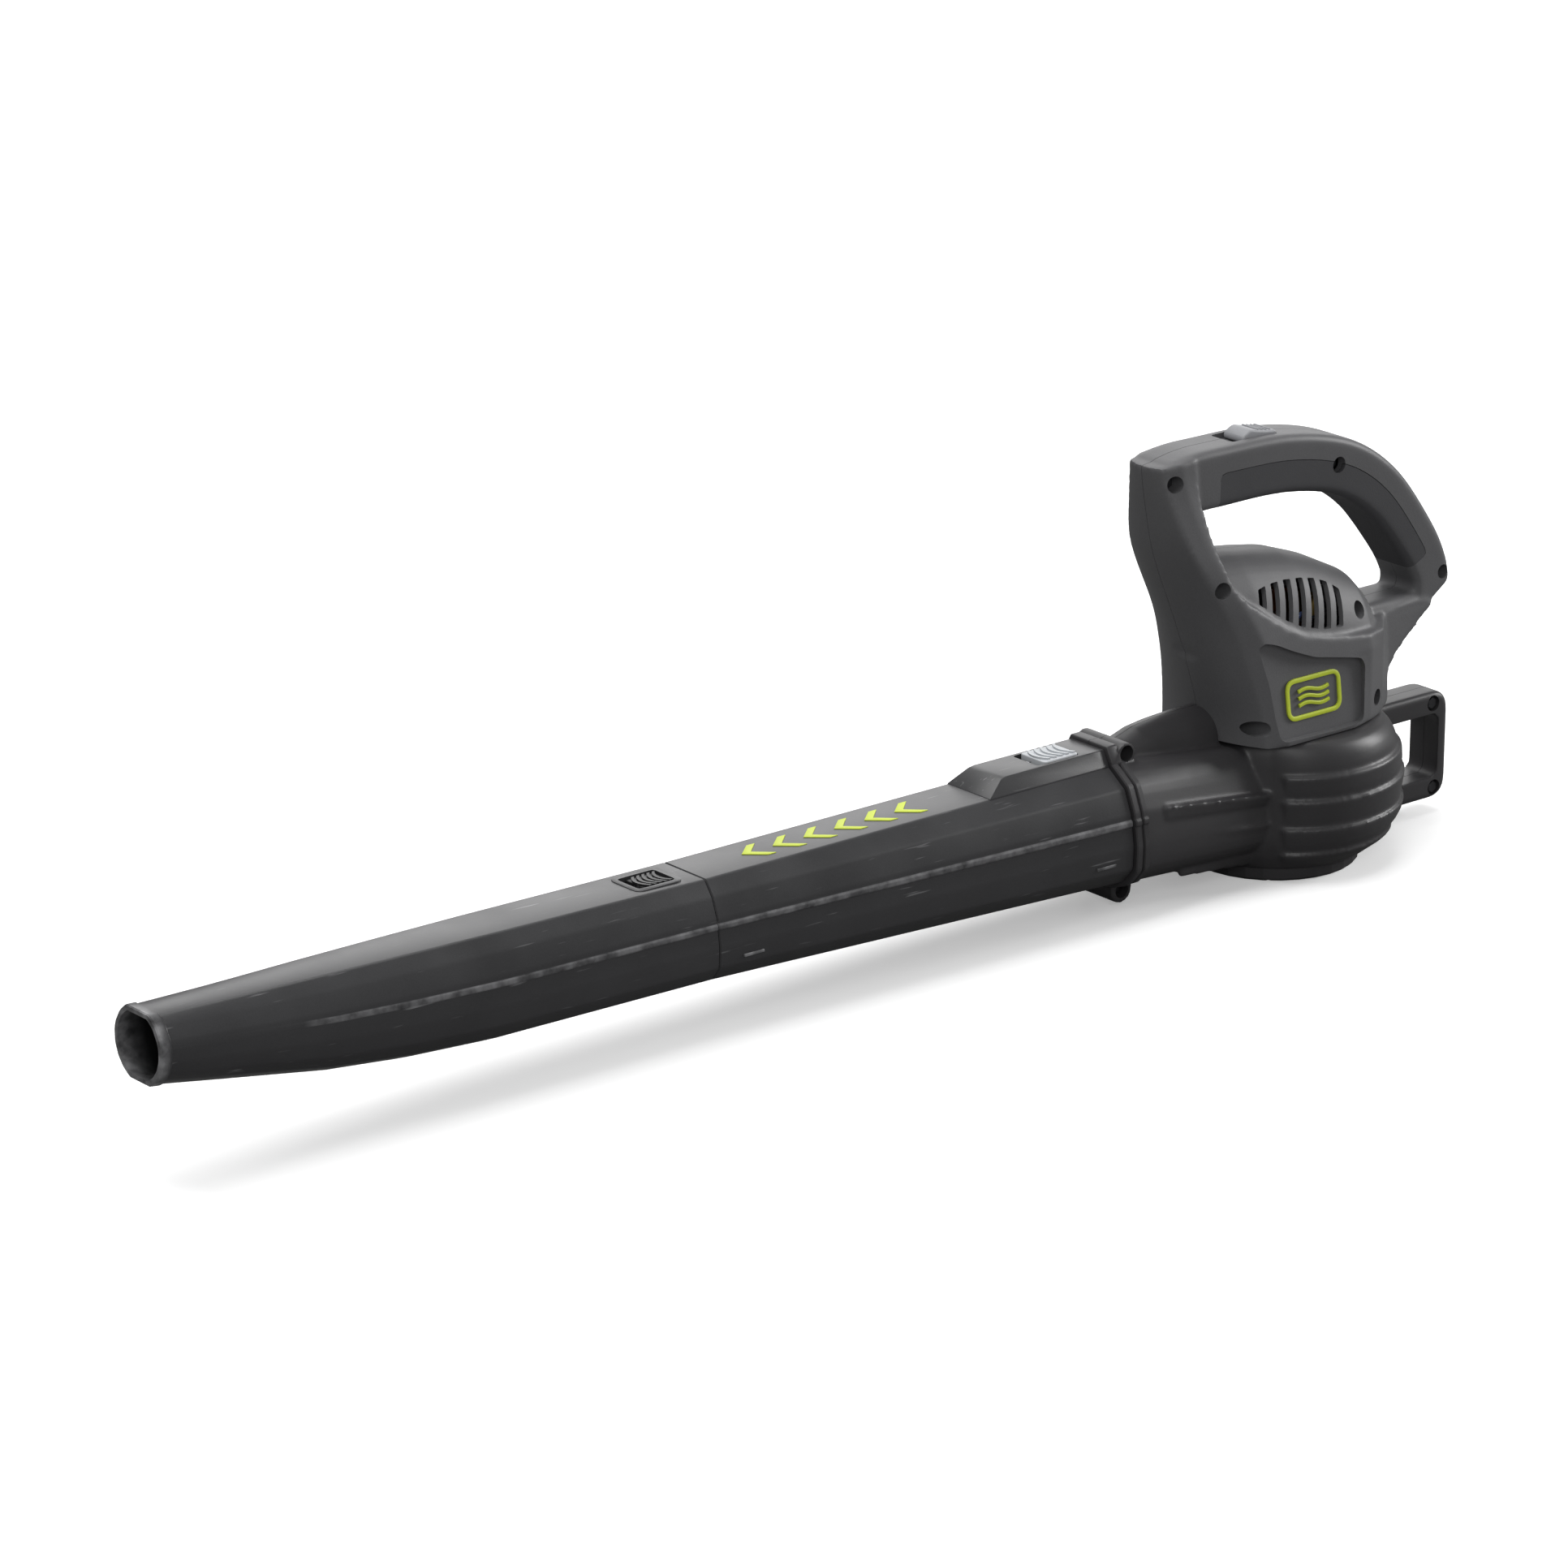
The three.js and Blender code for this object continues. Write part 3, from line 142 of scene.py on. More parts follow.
def plate(name: str, outline: Sequence[Flat], low: float, high: float, axis: str = "y") -> Obj:
    """An outline pushed along an axis.

    Args:
        name: the piece's name.
        outline: corners across the axis, in X, Y, Z order, in millimetres.
        low: where the plate starts.
        high: where the plate ends.
        axis: the axis that it is pushed along.

    Returns:
        The new object.
    """
    index = "xyz".index(axis)

    def place(corner: Flat, along: float) -> Point:
        """A corner with its place along the axis put in."""
        full = list(corner)
        full.insert(index, along)
        return tuple(full)

    return skin(name, [[place(corner, level) for corner in outline] for level in (low, high)])


def box(name: str, low: Point, high: Point) -> Obj:
    """A block between two corners, in millimetres."""
    outline = [(low[0], low[2]), (high[0], low[2]), (high[0], high[2]), (low[0], high[2])]
    return plate(name, outline, low[1], high[1])


def pin(name: str, centre: Point, radius: float, length: float, axis: str = "y", sides: int = 40) -> Obj:
    """A round bar about a centre, along an axis, in millimetres.

    Args:
        name: its name.
        centre: the middle of the bar.
        radius: its radius.
        length: its whole length.
        axis: the letter of the axis it lies along.
        sides: how many flats round it.

    Returns:
        The bar.
    """
    turn = {"x": (0, math.pi / 2, 0), "y": (math.pi / 2, 0, 0), "z": (0, 0, 0)}[axis]
    deselect()
    bpy.ops.mesh.primitive_cylinder_add(
        vertices=sides, radius=radius * MM, depth=length * MM, location=Vector(centre) * MM, rotation=turn,
    )
    bpy.context.object.name = name
    return settle(bpy.context.object)


def merge(name: str, parts: Sequence[Obj]) -> Obj:
    """Join objects into one, without uniting their solids.

    Args:
        name: the name of the result.
        parts: the objects, which are used up.

    Returns:
        The joined object.
    """
    deselect()
    for part in parts:
        part.select_set(True)
    bpy.context.view_layer.objects.active = parts[0]
    if len(parts) > 1:
        bpy.ops.object.join()
    parts[0].name = parts[0].data.name = name
    return parts[0]


def copy(obj: Obj, name: str) -> Obj:
    """A copy with its own mesh.

    Args:
        obj: the object to copy.
        name: the copy's name.

    Returns:
        The copy.
    """
    twin = obj.copy()
    twin.data = obj.data.copy()
    twin.name = twin.data.name = name
    bpy.context.scene.collection.objects.link(twin)
    return twin


def apply(obj: Obj, kind: str, **settings: object) -> Obj:
    """Add a modifier with its settings and apply it.

    Args:
        obj: the piece.
        kind: the modifier's type.
        settings: the modifier's own settings.

    Returns:
        The same object.
    """
    pick(obj)
    modifier = obj.modifiers.new(kind.title(), kind)
    for key, value in settings.items():
        setattr(modifier, key, value)
    bpy.ops.object.modifier_apply(modifier=modifier.name)
    return obj


def carve(obj: Obj, tools: Sequence[Obj], cut: Cut = Cut.TAKE, keep_tools: bool = False) -> Obj:
    """Cut, add or keep one solid with others.

    Args:
        obj: the solid that changes.
        tools: the solids that act on it, used up unless keep_tools is set.
        cut: what they do.
        keep_tools: whether the tools stay.

    Returns:
        The changed solid.
    """
    for tool in tools:
        apply(obj, "BOOLEAN", operation=cut.value, solver="EXACT", object=tool, use_self=False)
        if not keep_tools:
            bpy.data.objects.remove(tool)
    if not obj.data.polygons:
        raise RuntimeError(f"nothing is left of {obj.name}")
    return obj


def screw_well(x: float, z: float, radius: float) -> list[Obj]:
    """The cutters of a screw: its well from the near side and the hole at the bottom.

    Args:
        x: where the screw stands.
        z: how high it stands.
        radius: the well's radius.

    Returns:
        The well's cutter and the hole's.
    """
    return [pin("well", (x, -108, z), radius, 200, sides=28), pin("hole", (x, 0, z), 2.1, 21, sides=20)]


def halves(body: Obj, name: str, angle: float) -> list[Obj]:
    """Part a moulding down its middle, and use it up.

    Args:
        body: the whole moulding.
        name: the halves' name, with a place for the side.
        angle: the angle that stays sharp, in degrees.

    Returns:
        The left half and the right half.
    """
    made = []
    for side, low, high in (("left", -FAR, -SEAM), ("right", SEAM, FAR)):
        keep = box("keep", (-FAR, low, -FAR), (FAR, high, FAR))
        made.append(smooth_faces(carve(copy(body, name.format(side)), [keep], Cut.KEEP), angle))
    bpy.data.objects.remove(body)
    return made


def mould(obj: Obj, voxel: float, passes: int) -> Obj:
    """Unite overlapping solids into one smooth moulded skin.

    Args:
        obj: the overlapping solids in one object.
        voxel: the grid's spacing, in millimetres.
        passes: how many times the skin is smoothed.

    Returns:
        The same object with its new skin.
    """
    apply(obj, "REMESH", mode="VOXEL", voxel_size=voxel * MM, adaptivity=0.0)
    if passes:
        apply(obj, "SMOOTH", factor=0.5, iterations=passes)
    return obj


def soften(obj: Obj, width: float, angle: float = 35.0, segments: int = 3) -> Obj:
    """Round the sharp edges of a piece.

    Args:
        obj: the piece.
        width: the width of the rounding, in millimetres.
        angle: the least angle of an edge that is rounded, in degrees.
        segments: how many faces a rounding has.

    Returns:
        The same object.
    """
    return apply(
        obj, "BEVEL", width=width * MM, segments=segments, limit_method="ANGLE",
        angle_limit=math.radians(angle), use_clamp_overlap=True, harden_normals=False,
    )


def smooth_faces(obj: Obj, angle: float = 32.0) -> Obj:
    """Shade a piece smooth, but for edges over an angle.

    Args:
        obj: the piece.
        angle: the angle in degrees.

    Returns:
        The same object.
    """
    pick(obj)
    bpy.ops.object.shade_smooth_by_angle(angle=math.radians(angle))
    return obj


def along(points: Sequence[Flat], count: int) -> list[Flat]:
    """Points spaced evenly by length on a smooth curve through the given ones.

    Args:
        points: the given points.
        count: how many to return.

    Returns:
        The spaced points.
    """
    knots = np.array([points[0], *points, points[-1]], float)
    dense = []
    for i in range(1, len(knots) - 2):
        p0, p1, p2, p3 = knots[i - 1:i + 3]
        for t in np.linspace(0, 1, 24, endpoint=False):
            dense.append(0.5 * (2 * p1 + (p2 - p0) * t + (2 * p0 - 5 * p1 + 4 * p2 - p3) * t**2
                                + (3 * p1 - p0 - 3 * p2 + p3) * t**3))
    dense = np.array(dense + [knots[-2]])
    reach = np.concatenate([[0], np.cumsum(np.linalg.norm(np.diff(dense, axis=0), axis=1))])
    spots = np.linspace(0, reach[-1], count)
    return [tuple(float(np.interp(s, reach, dense[:, k])) for k in (0, 1)) for s in spots]


def offset(line: Sequence[Flat], depth: float | Sequence[float]) -> list[Flat]:
    """An open line moved to its right-hand side by a depth, or by one depth for each point.

    Args:
        line: the line's points.
        depth: the depth or depths, in millimetres.

    Returns:
        The moved points.
    """
    pts = np.array(line, float)
    way = np.gradient(pts, axis=0)
    way /= np.linalg.norm(way, axis=1)[:, None]
    shift = np.column_stack([way[:, 1], -way[:, 0]]) * np.reshape(depth, (-1, 1))
    return [tuple(p) for p in pts + shift]


def rounded(outline: Sequence[Flat], radius: float, steps: int = 3) -> list[Flat]:
    """A closed outline with its corners rounded.

    Args:
        outline: the corners in order.
        radius: the corners' radius.
        steps: how many steps each corner takes.

    Returns:
        The rounded outline.
    """
    pts = [np.array(p, float) for p in outline]
    result = []
    for i, here in enumerate(pts):
        before, after = pts[i - 1], pts[(i + 1) % len(pts)]
        reach = min(radius, 0.45 * np.linalg.norm(before - here), 0.45 * np.linalg.norm(after - here))
        start = here + (before - here) / (np.linalg.norm(before - here) + 1e-9) * reach
        end = here + (after - here) / (np.linalg.norm(after - here) + 1e-9) * reach
        for t in np.linspace(0, 1, steps):
            result.append(tuple((1 - t)**2 * start + 2 * t * (1 - t) * here + t * t * end))
    return result


def oblong(low: float, high: float, half: float, radius: float, steps: int = 3) -> list[Flat]:
    """A rectangle about the middle plane with its corners rounded."""
    return rounded([(low, -half), (high, -half), (high, half), (low, half)], radius, steps)


def ride(obj: Obj, body: str, replaces: Sequence[str] = ()) -> Obj:
    """Hand a finished piece to its body and the nodes it stands for.

    Args:
        obj: the finished piece.
        body: the body that carries it.
        replaces: the nodes it stands for.

    Returns:
        The same object.
    """
    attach(obj, body)
    if replaces:
        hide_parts(*replaces)
    LOG.info("%s: %d faces, rides on %s", obj.name, len(obj.data.polygons), body)
    return obj


# ---------------------------------------------------------------- finishes


def fill(tree: bpy.types.NodeTree, socket: bpy.types.NodeSocket, value: object) -> None:
    """Link a socket to another one, or give it a value.

    Args:
        tree: the node tree.
        socket: the input.
        value: an output socket or a plain value.
    """
    if isinstance(value, bpy.types.NodeSocket):
        tree.links.new(value, socket)
    else:
        socket.default_value = value


def add_node(tree: bpy.types.NodeTree, kind: str, **inputs: object) -> bpy.types.Node:
    """Add a shader node.

    Args:
        tree: the tree it goes in.
        kind: its type.
        inputs: a value or a socket for each input that is set.

    Returns:
        The node.
    """
    node = tree.nodes.new(f"ShaderNode{kind}")
    for label, value in inputs.items():
        fill(tree, node.inputs[label], value)
    return node


def mixed(tree: bpy.types.NodeTree, kind: str, a: object, b: object) -> bpy.types.NodeSocket:
    """A Math node's result on two values or sockets.

    Args:
        tree: the node tree.
        kind: the Math operation.
        a: the first value or socket.
        b: the second one.

    Returns:
        The result's socket.
    """
    node = add_node(tree, "Math")
    node.operation = kind
    fill(tree, node.inputs[0], a)
    fill(tree, node.inputs[1], b)
    return node.outputs[0]


def blended(tree: bpy.types.NodeTree, share: object, a: object, b: object) -> bpy.types.NodeSocket:
    """A colour between two others.

    Args:
        tree: the node tree.
        share: the share of the second colour.
        a: the first colour.
        b: the second colour.

    Returns:
        The colour's socket.
    """
    mix = add_node(tree, "Mix")
    mix.data_type = "RGBA"
    for label, value in (("Factor", share), ("A", a), ("B", b)):
        fill(tree, mix.inputs[label], value)
    return mix.outputs["Result"]


@dataclass
class Effect:
    """A shader node group that is being built, with its inputs and its object coordinates."""

    name: str
    settings: dict[str, float]
    results: tuple[str, ...] = ("Mask",)

    def __post_init__(self) -> None:
        """Make the empty group and its sockets."""
        self.group = bpy.data.node_groups.new(self.name, "ShaderNodeTree")
        new_socket = self.group.interface.new_socket
        for label, value in self.settings.items():
            new_socket(name=label, in_out="INPUT", socket_type="NodeSocketFloat").default_value = value
        for label in self.results:
            new_socket(name=label, in_out="OUTPUT", socket_type="NodeSocketFloat")
        self.given = self.group.nodes.new("NodeGroupInput").outputs
        self.place = add_node(self.group, "TexCoord").outputs["Object"]

    def noise(self, place: bpy.types.NodeSocket, scale: object, detail: float) -> bpy.types.NodeSocket:
        """A noise at a place."""
        return add_node(self.group, "TexNoise", Vector=place, Scale=scale, Detail=detail).outputs["Fac"]

    def limited(self, value: bpy.types.NodeSocket) -> bpy.types.NodeSocket:
        """A value kept between 0 and 1."""
        return add_node(self.group, "Clamp", Value=value).outputs["Result"]

    def close(self, *values: bpy.types.NodeSocket) -> bpy.types.NodeTree:
        """Hand the results over and give back the finished group.

        Args:
            values: the results, in the order of the outputs.

        Returns:
            The group.
        """
        ends = self.group.nodes.new("NodeGroupOutput").inputs
        for label, value in zip(self.results, values):
            fill(self.group, ends[label], value)
        return self.group


def mould_grain() -> bpy.types.NodeTree:
    """The fine spark-eroded grain of a moulded surface: its height, its tint and its gloss.

    Returns:
        The group.
    """
    effect = Effect("MouldGrain", {"Size": 900.0, "Blotch": 18.0}, ("Height", "Tint", "Gloss"))
    fine = effect.noise(effect.place, effect.given["Size"], 3.0)
    broad = effect.noise(effect.place, effect.given["Blotch"], 4.0)
    group = effect.group
    tint = mixed(group, "ADD", mixed(group, "MULTIPLY", broad, 0.6), mixed(group, "MULTIPLY", fine, 0.4))
    return effect.close(fine, tint, broad)


def edge_wear_and_highlight() -> bpy.types.NodeTree:
    """Rubbed edges and painted highlights: where the piece's own attribute of wear and highlight is high,
    broken up by noise.

    Returns:
        The group.
    """
    effect = Effect("EdgeWearAndHighlight", {"Amount": 0.5, "Size": 120.0})
    group = effect.group
    breakup_noise = effect.noise(effect.place, effect.given["Size"], 5.0)
    # the attribute holds real wear at the nozzle's mouth and painted highlight on the side ridge and the dashes
    wear_and_highlight_node = add_node(group, "Attribute")
    wear_and_highlight_node.attribute_name = "wear_and_highlight"
    level = mixed(group, "MULTIPLY", wear_and_highlight_node.outputs["Fac"], effect.given["Amount"])
    broken = mixed(group, "MULTIPLY", mixed(group, "SUBTRACT", breakup_noise, 0.3), 2.2)
    return effect.close(effect.limited(mixed(group, "MULTIPLY", level, broken)))


def scratches() -> bpy.types.NodeTree:
    """Sparse fine scratches that run along the tubes.

    Returns:
        The group.
    """
    effect = Effect("Scratches", {"Density": 1.0})
    group = effect.group
    drawn = add_node(group, "Mapping", Vector=effect.place, Rotation=(0.1, 0.16, 0.22), Scale=(28, 420, 420))
    above = mixed(group, "SUBTRACT", effect.noise(drawn.outputs["Vector"], 1.0, 2.0), 0.68)
    marks = mixed(group, "MULTIPLY", above, 14.0)
    return effect.close(effect.limited(mixed(group, "MULTIPLY", marks, effect.given["Density"])))


def blank_material(name: str) -> tuple[bpy.types.Material, bpy.types.NodeTree, bpy.types.Node]:
    """A new material, its tree and its shader.

    Args:
        name: the material's name.

    Returns:
        The material, its tree and its shader.
    """
    material = bpy.data.materials.new(name)
    material.use_nodes = True
    return material, material.node_tree, material.node_tree.nodes["Principled BSDF"]


@dataclass(frozen=True)
class Finish:
    """One material's look."""

    name: str
    colour: tuple[float, float, float]
    roughness: float
    metallic: float = 0.0
    specular: float = 0.5
    grain: float = 900.0
    depth: float = 0.00012
    bump: float = 0.25
    spread: float = 0.16
    # strength and colour of the mask of rubbed edges and painted highlights
    wear_and_highlight: float = 0.0
    wear_and_highlight_colour: tuple[float, float, float] = (0.45, 0.45, 0.46)
    scratch: float = 0.0

    def tinted(self, tree: bpy.types.NodeTree, tint: bpy.types.NodeSocket) -> bpy.types.NodeSocket:
        """The colour, a little darker and lighter with the tint.

        Args:
            tree: the node tree.
            tint: the grain's tint.

        Returns:
            The colour's socket.
        """
        ramp = add_node(tree, "ValToRGB", Fac=tint)
        for stop, place, way in zip(ramp.color_ramp.elements, (0.3, 0.7), (-1, 1)):
            stop.position = place
            stop.color = (*[min(1.0, c * (1 + way * self.spread)) for c in self.colour], 1)
        return ramp.outputs["Color"]

    def make(self, groups: dict[str, bpy.types.NodeTree]) -> bpy.types.Material:
        """Build the material.

        Args:
            groups: the shared effects, by name.

        Returns:
            The material.
        """
        material, tree, shader = blank_material(self.name)
        shader.inputs["Metallic"].default_value = self.metallic
        shader.inputs["Specular IOR Level"].default_value = self.specular

        def effect(name: str, **values: float) -> bpy.types.NodeOutputs:
            """Add a finish's group node.

            Args:
                name: the group's name.
                values: what its inputs are set to.

            Returns:
                The node's outputs.
            """
            node = tree.nodes.new("ShaderNodeGroup")
            node.node_tree = groups[name]
            for label, value in values.items():
                node.inputs[label].default_value = value
            return node.outputs

        grain = effect("MouldGrain", Size=self.grain, Blotch=self.grain / 45)
        colour = self.tinted(tree, grain["Tint"])
        # the first mask lightens rubbed edges and paints highlights, the second paints real scratches
        marks = (("EdgeWearAndHighlight", "Amount", self.wear_and_highlight), ("Scratches", "Density", self.scratch))
        for name, setting, amount in marks:
            if amount:
                mask = effect(name, **{setting: amount})["Mask"]
                colour = blended(tree, mask, colour, (*self.wear_and_highlight_colour, 1))
        fill(tree, shader.inputs["Base Color"], colour)
        gloss = mixed(tree, "ADD", mixed(tree, "MULTIPLY", grain["Gloss"], 0.18), self.roughness - 0.09)
        fill(tree, shader.inputs["Roughness"], gloss)
        bump = add_node(tree, "Bump", Strength=self.bump, Distance=self.depth, Height=grain["Height"])
        fill(tree, shader.inputs["Normal"], bump.outputs["Normal"])
        return material


FINISHES = [
    Finish("grey_shell", (0.1, 0.1, 0.104), 0.5, depth=0.00016, bump=0.35, spread=0.10),
    # painted shade: a darker copy of the grey shell plastic, standing in for the shade on the lower fan housing
    Finish("dark_shell", (0.034, 0.033, 0.035), 0.42, grain=1100, bump=0.2, spread=0.14),
    # the tubes' lighter mask is real wear at the nozzle's mouth plus painted highlight on the side ridge and
    # the dashes
    Finish("tube_plastic", (0.034, 0.034, 0.036), 0.34, grain=1000, bump=0.22, spread=0.15, wear_and_highlight=1.0,
           scratch=0.28, wear_and_highlight_colour=(0.36, 0.36, 0.37)),
    Finish("light_button", (0.52, 0.54, 0.56), 0.5, depth=0.0001, spread=0.06),
    Finish("switch_grey", (0.27, 0.275, 0.29), 0.5, depth=0.0001, spread=0.06),
    # painted shade: a dark steel for the screws sunk in their wells, standing in for the shade in the wells
    Finish("well_shaded_steel", (0.035, 0.035, 0.038), 0.45, metallic=0.6, depth=0.00005, spread=0.1),
    Finish("black_button", (0.018, 0.018, 0.019), 0.42, spread=0.12),
    Finish("soft_grip", (0.062, 0.062, 0.066), 0.72, grain=1300, depth=0.0002, bump=0.4, spread=0.10,
           specular=0.3),
    Finish("nylon", (0.02, 0.02, 0.022), 0.45),
    Finish("carbon", (0.02, 0.02, 0.021), 0.8, grain=1500, bump=0.4),
    Finish("lead_jacket", (0.015, 0.035, 0.12), 0.4),
    Finish("steel", (0.48, 0.48, 0.5), 0.32, metallic=1.0, depth=0.00005, spread=0.1),
    Finish("lamination", (0.1, 0.105, 0.115), 0.5, metallic=1.0, spread=0.2),
    Finish("copper", (0.3, 0.1, 0.04), 0.34, metallic=1.0, grain=1600, bump=0.5, spread=0.2),
    Finish("brass", (0.34, 0.24, 0.08), 0.34, metallic=1.0),
    Finish("marking_lime", (0.52, 0.62, 0.035), 0.5, depth=0.00008, spread=0.08),
]


@dataclass
class Palette:
    """All the finishes, ready to put on pieces."""

    materials: dict[str, bpy.types.Material] = field(default_factory=dict)

    def build(self) -> None:
        """Make the shared effects and every material."""
        groups = {group.name: group for group in (mould_grain(), edge_wear_and_highlight(), scratches())}
        self.materials = {finish.name: finish.make(groups) for finish in FINISHES}

    def paint(self, obj: Obj, name: str) -> Obj:
        """Give a piece its finish.

        Args:
            obj: the piece.
            name: the finish's name.

        Returns:
            The same object.
        """
        if obj.data.materials:
            for place in range(len(obj.data.materials)):
                obj.material_slots[place].material = self.materials[name]
        else:
            obj.data.materials.append(self.materials[name])
        return obj


def mark_wear_and_highlight(obj: Obj, amount: Callable[[float, float, float], float]) -> Obj:
    """Store how rubbed each corner of a piece is, and how much painted highlight it gets, as its attribute.

    Args:
        obj: the piece.
        amount: the wear and painted highlight at a place, in millimetres.

    Returns:
        The piece.
    """
    level = [amount(*(vert.co / MM)) for vert in obj.data.vertices]
    attribute = obj.data.attributes.new("wear_and_highlight", "FLOAT", "POINT")
    attribute.data.foreach_set("value", level)
    return obj


# ---------------------------------------------------------------- the air tubes

FACETS = ((0.785, 0.14), (0.93, 0.335), (1.0, 0.6), (0.985, 0.79), (0.78, 0.93), (0.46, 1.0))


@dataclass(frozen=True)
class Section:
    """The air passage's outer section at one place."""

    x: float
    half: float
    top: float
    bottom: float
    flat: float = 18.0
    round: float = 0.0
    far: float = 0.0
    ridge: float = 0.0

    def ring(self, inward: float = 0.0, corner: float = 1.3) -> list[Point]:
        """The section's corners, softened, in millimetres.

        Args:
            inward: how far inside the outer surface.
            corner: the length of each softened corner.

        Returns:
            The ring's points.
        """
        height = self.top - self.bottom - 2 * inward
        far = self.far or self.half
        corners = [(self.flat / self.half, 0.0), *FACETS]

        def side(reach: float) -> list[Flat]:
            """One side of the section, from the top down.

            Args:
                reach: the half-width, negative on the near side.

            Returns:
                The side's points.
            """
            pts = [(across * reach, self.top - inward - down * height) for across, down in corners]
            raised = self.ridge
            (ay, az), (by, bz) = pts[2], pts[3]
            out = math.copysign(raised, reach)
            strip = [(ay + (by - ay) * t + out * up, az + (bz - az) * t)
                     for t, up in ((0.16, 0), (0.2, 1), (0.34, 1), (0.38, 0))]
            return [*pts[:3], *strip, *pts[3:]]

        outline = side(far - inward) + side(-(self.half - inward))[::-1]
        pts = rounded(outline, corner)
        middle, half_height = (self.top + self.bottom) / 2, height / 2
        result = []
        for y, z in pts:
            if self.round > 0:
                wide = (far if y > 0 else self.half) - inward
                turn = math.atan2(y / wide, (z - middle) / half_height)
                y += (wide * math.sin(turn) - y) * self.round
                z += (middle + half_height * math.cos(turn) - z) * self.round
            result.append((self.x, y, z))
        return result


@dataclass
class AirTubes:
    """The upper tube and the nozzle tube, with their latches and markings."""

    palette: Palette
    collar: float = -147.0
    joint: float = -443.0
    nose: float = -801.0
    wall: float = 2.2
    upper_latch: tuple[float, float, float] = (-190.0, -164.0, 10.5)
    nozzle_latch: tuple[float, float, float] = (-477.0, -457.5, 9.5)
    travel: float = 5.0
    button_ribs: int = 5
    chevron_tip: float = -282.0
    chevron_step: float = 22.0
    chevron_half: float = 9.5

    def section(self, x: float) -> Section:
        """The outer section at a place along the tubes.

        Args:
            x: the place along the tubes.

        Returns:
            The section there.
        """
        stops = (-147.0, -443.0, -586.2, -643.5, -693.6, -754.5, -801.0)
        rows = {
            "half": (41, 31, 29.5, 27.8, 26, 23, 21), "top": (90, 89.5, 92.1, 93.5, 94.8, 96.3, 97.5),
            "bottom": (19, 29, 30.3, 33.2, 38, 47.6, 55.5), "round": (0, 0, 0.1, 0.25, 0.45, 0.8, 1),
            "flat": (18, 18, 17.1, 16.1, 15.1, 13.4, 12.2), "ridge": (0.9, 0.8, 0.5, 0.4, 0.25, 0.1, 0),
        }
        values = {key: float(np.interp(-x, [-s for s in stops], row)) for key, row in rows.items()}
        return Section(x=x, **values)

    def run(self, name: str, start: float, end: float, inward: float, count: int = 24,
            ease: float = 0.0) -> Obj:
        """A closed length of the tube's own shape, with its ends eased if asked."""
        stops = [start, start - 0.7, *np.linspace(start, end, count)[1:-1], end + 0.7, end]
        return skin(name, [self.section(x).ring(inward + ease * (x in (start, end))) for x in stops])

    def pocket(self, latch: tuple[float, float, float], floor: float) -> Obj:
        """The space that a button slides in, with rounded corners.

        Args:
            latch: the button's sizes.
            floor: the height of the pocket's floor.

        Returns:
            The cutter.
        """
        front, rear, half = latch
        room = 0.5
        corners = oblong(front - self.travel - room, rear + room, half + room, 2.5, 5)
        return plate("pocket", corners, floor, floor + 40, "z")

    def upper(self) -> Obj:
        """The upper tube with its raised latch block and its spigot.

        Returns:
            The tube.
        """
        outside = self.run("upper_tube_skin", self.collar - 0.3, self.joint, 0, ease=0.7)
        side = [(-238, 84), (-147.3, 84), (-147.3, 99), (-222, 99), (-226, 98.2), (-238, 90)]
        raised = plate("raised", side, -19, 19)
        flank = plate("flank", [(-18.5, 80), (18.5, 80), (18.5, 90), (13.5, 99), (-13.5, 99), (-18.5, 90)],
                      -240, -146, "x")
        soften(carve(raised, [flank], Cut.KEEP), 0.8, 25)
        spigot = self.run("spigot", self.joint + 1, self.joint - 30, 2.7, 6)
        solid = carve(outside, [raised, spigot], Cut.ADD)
        bores = [self.run("bore", self.collar + 2, self.joint + 4, self.wall, 6),
                 self.run("throat", self.joint + 4.1, self.joint - 31, 4.9, 6)]
        solid = carve(solid, [*bores, self.pocket(self.upper_latch, 92),
                              box("notch", (-474, -13, 81), (-443.2, 13, 120))])
        # painted highlight along the raised side ridge, through the wear mask
        mark_wear_and_highlight(solid, self.wear_and_highlight_at)
        return smooth_faces(solid, 30)

    def nozzle(self) -> Obj:
        """The tapering nozzle tube with the rimmed recess of its button.

        Returns:
            The tube.
        """
        outside = self.run("nozzle_tube_skin", self.joint - 0.3, self.nose, 0, 34, ease=0.7)
        bead = skin("bead", [self.section(self.nose + x).ring(-grow) for x, grow in (
            (7.0, 0.0), (6.2, 0.8), (0.9, 1.0), (0.0, 0.4))])
        solid = carve(outside, [bead], Cut.ADD)
        bore = self.run("nozzle_bore", self.joint + 1, self.nose - 1, self.wall, 20)
        front, rear, half = self.nozzle_latch
        rim = plate("rim", oblong(front - 9, rear + 4, half + 4, 6, 6), 82, self.section(rear).top + 0.9, "z")
        pad = plate("pad", oblong(front - 10.5, self.joint - 1, 12.5, 1), 83.2, 88.5, "z")
        soften(rim, 0.5, 40, 2)
        solid = carve(carve(solid, [bore]), [pad, rim], Cut.ADD)
        slot = box("slot", (rear - 14, -4.5, 75), (rear - 2, 4.5, 88))
        solid = carve(solid, [self.pocket(self.nozzle_latch, 85), slot])
        # real wear at the mouth and painted highlight along the side ridge, through the wear mask
        mark_wear_and_highlight(solid, self.wear_and_highlight_at)
        return smooth_faces(solid, 30)

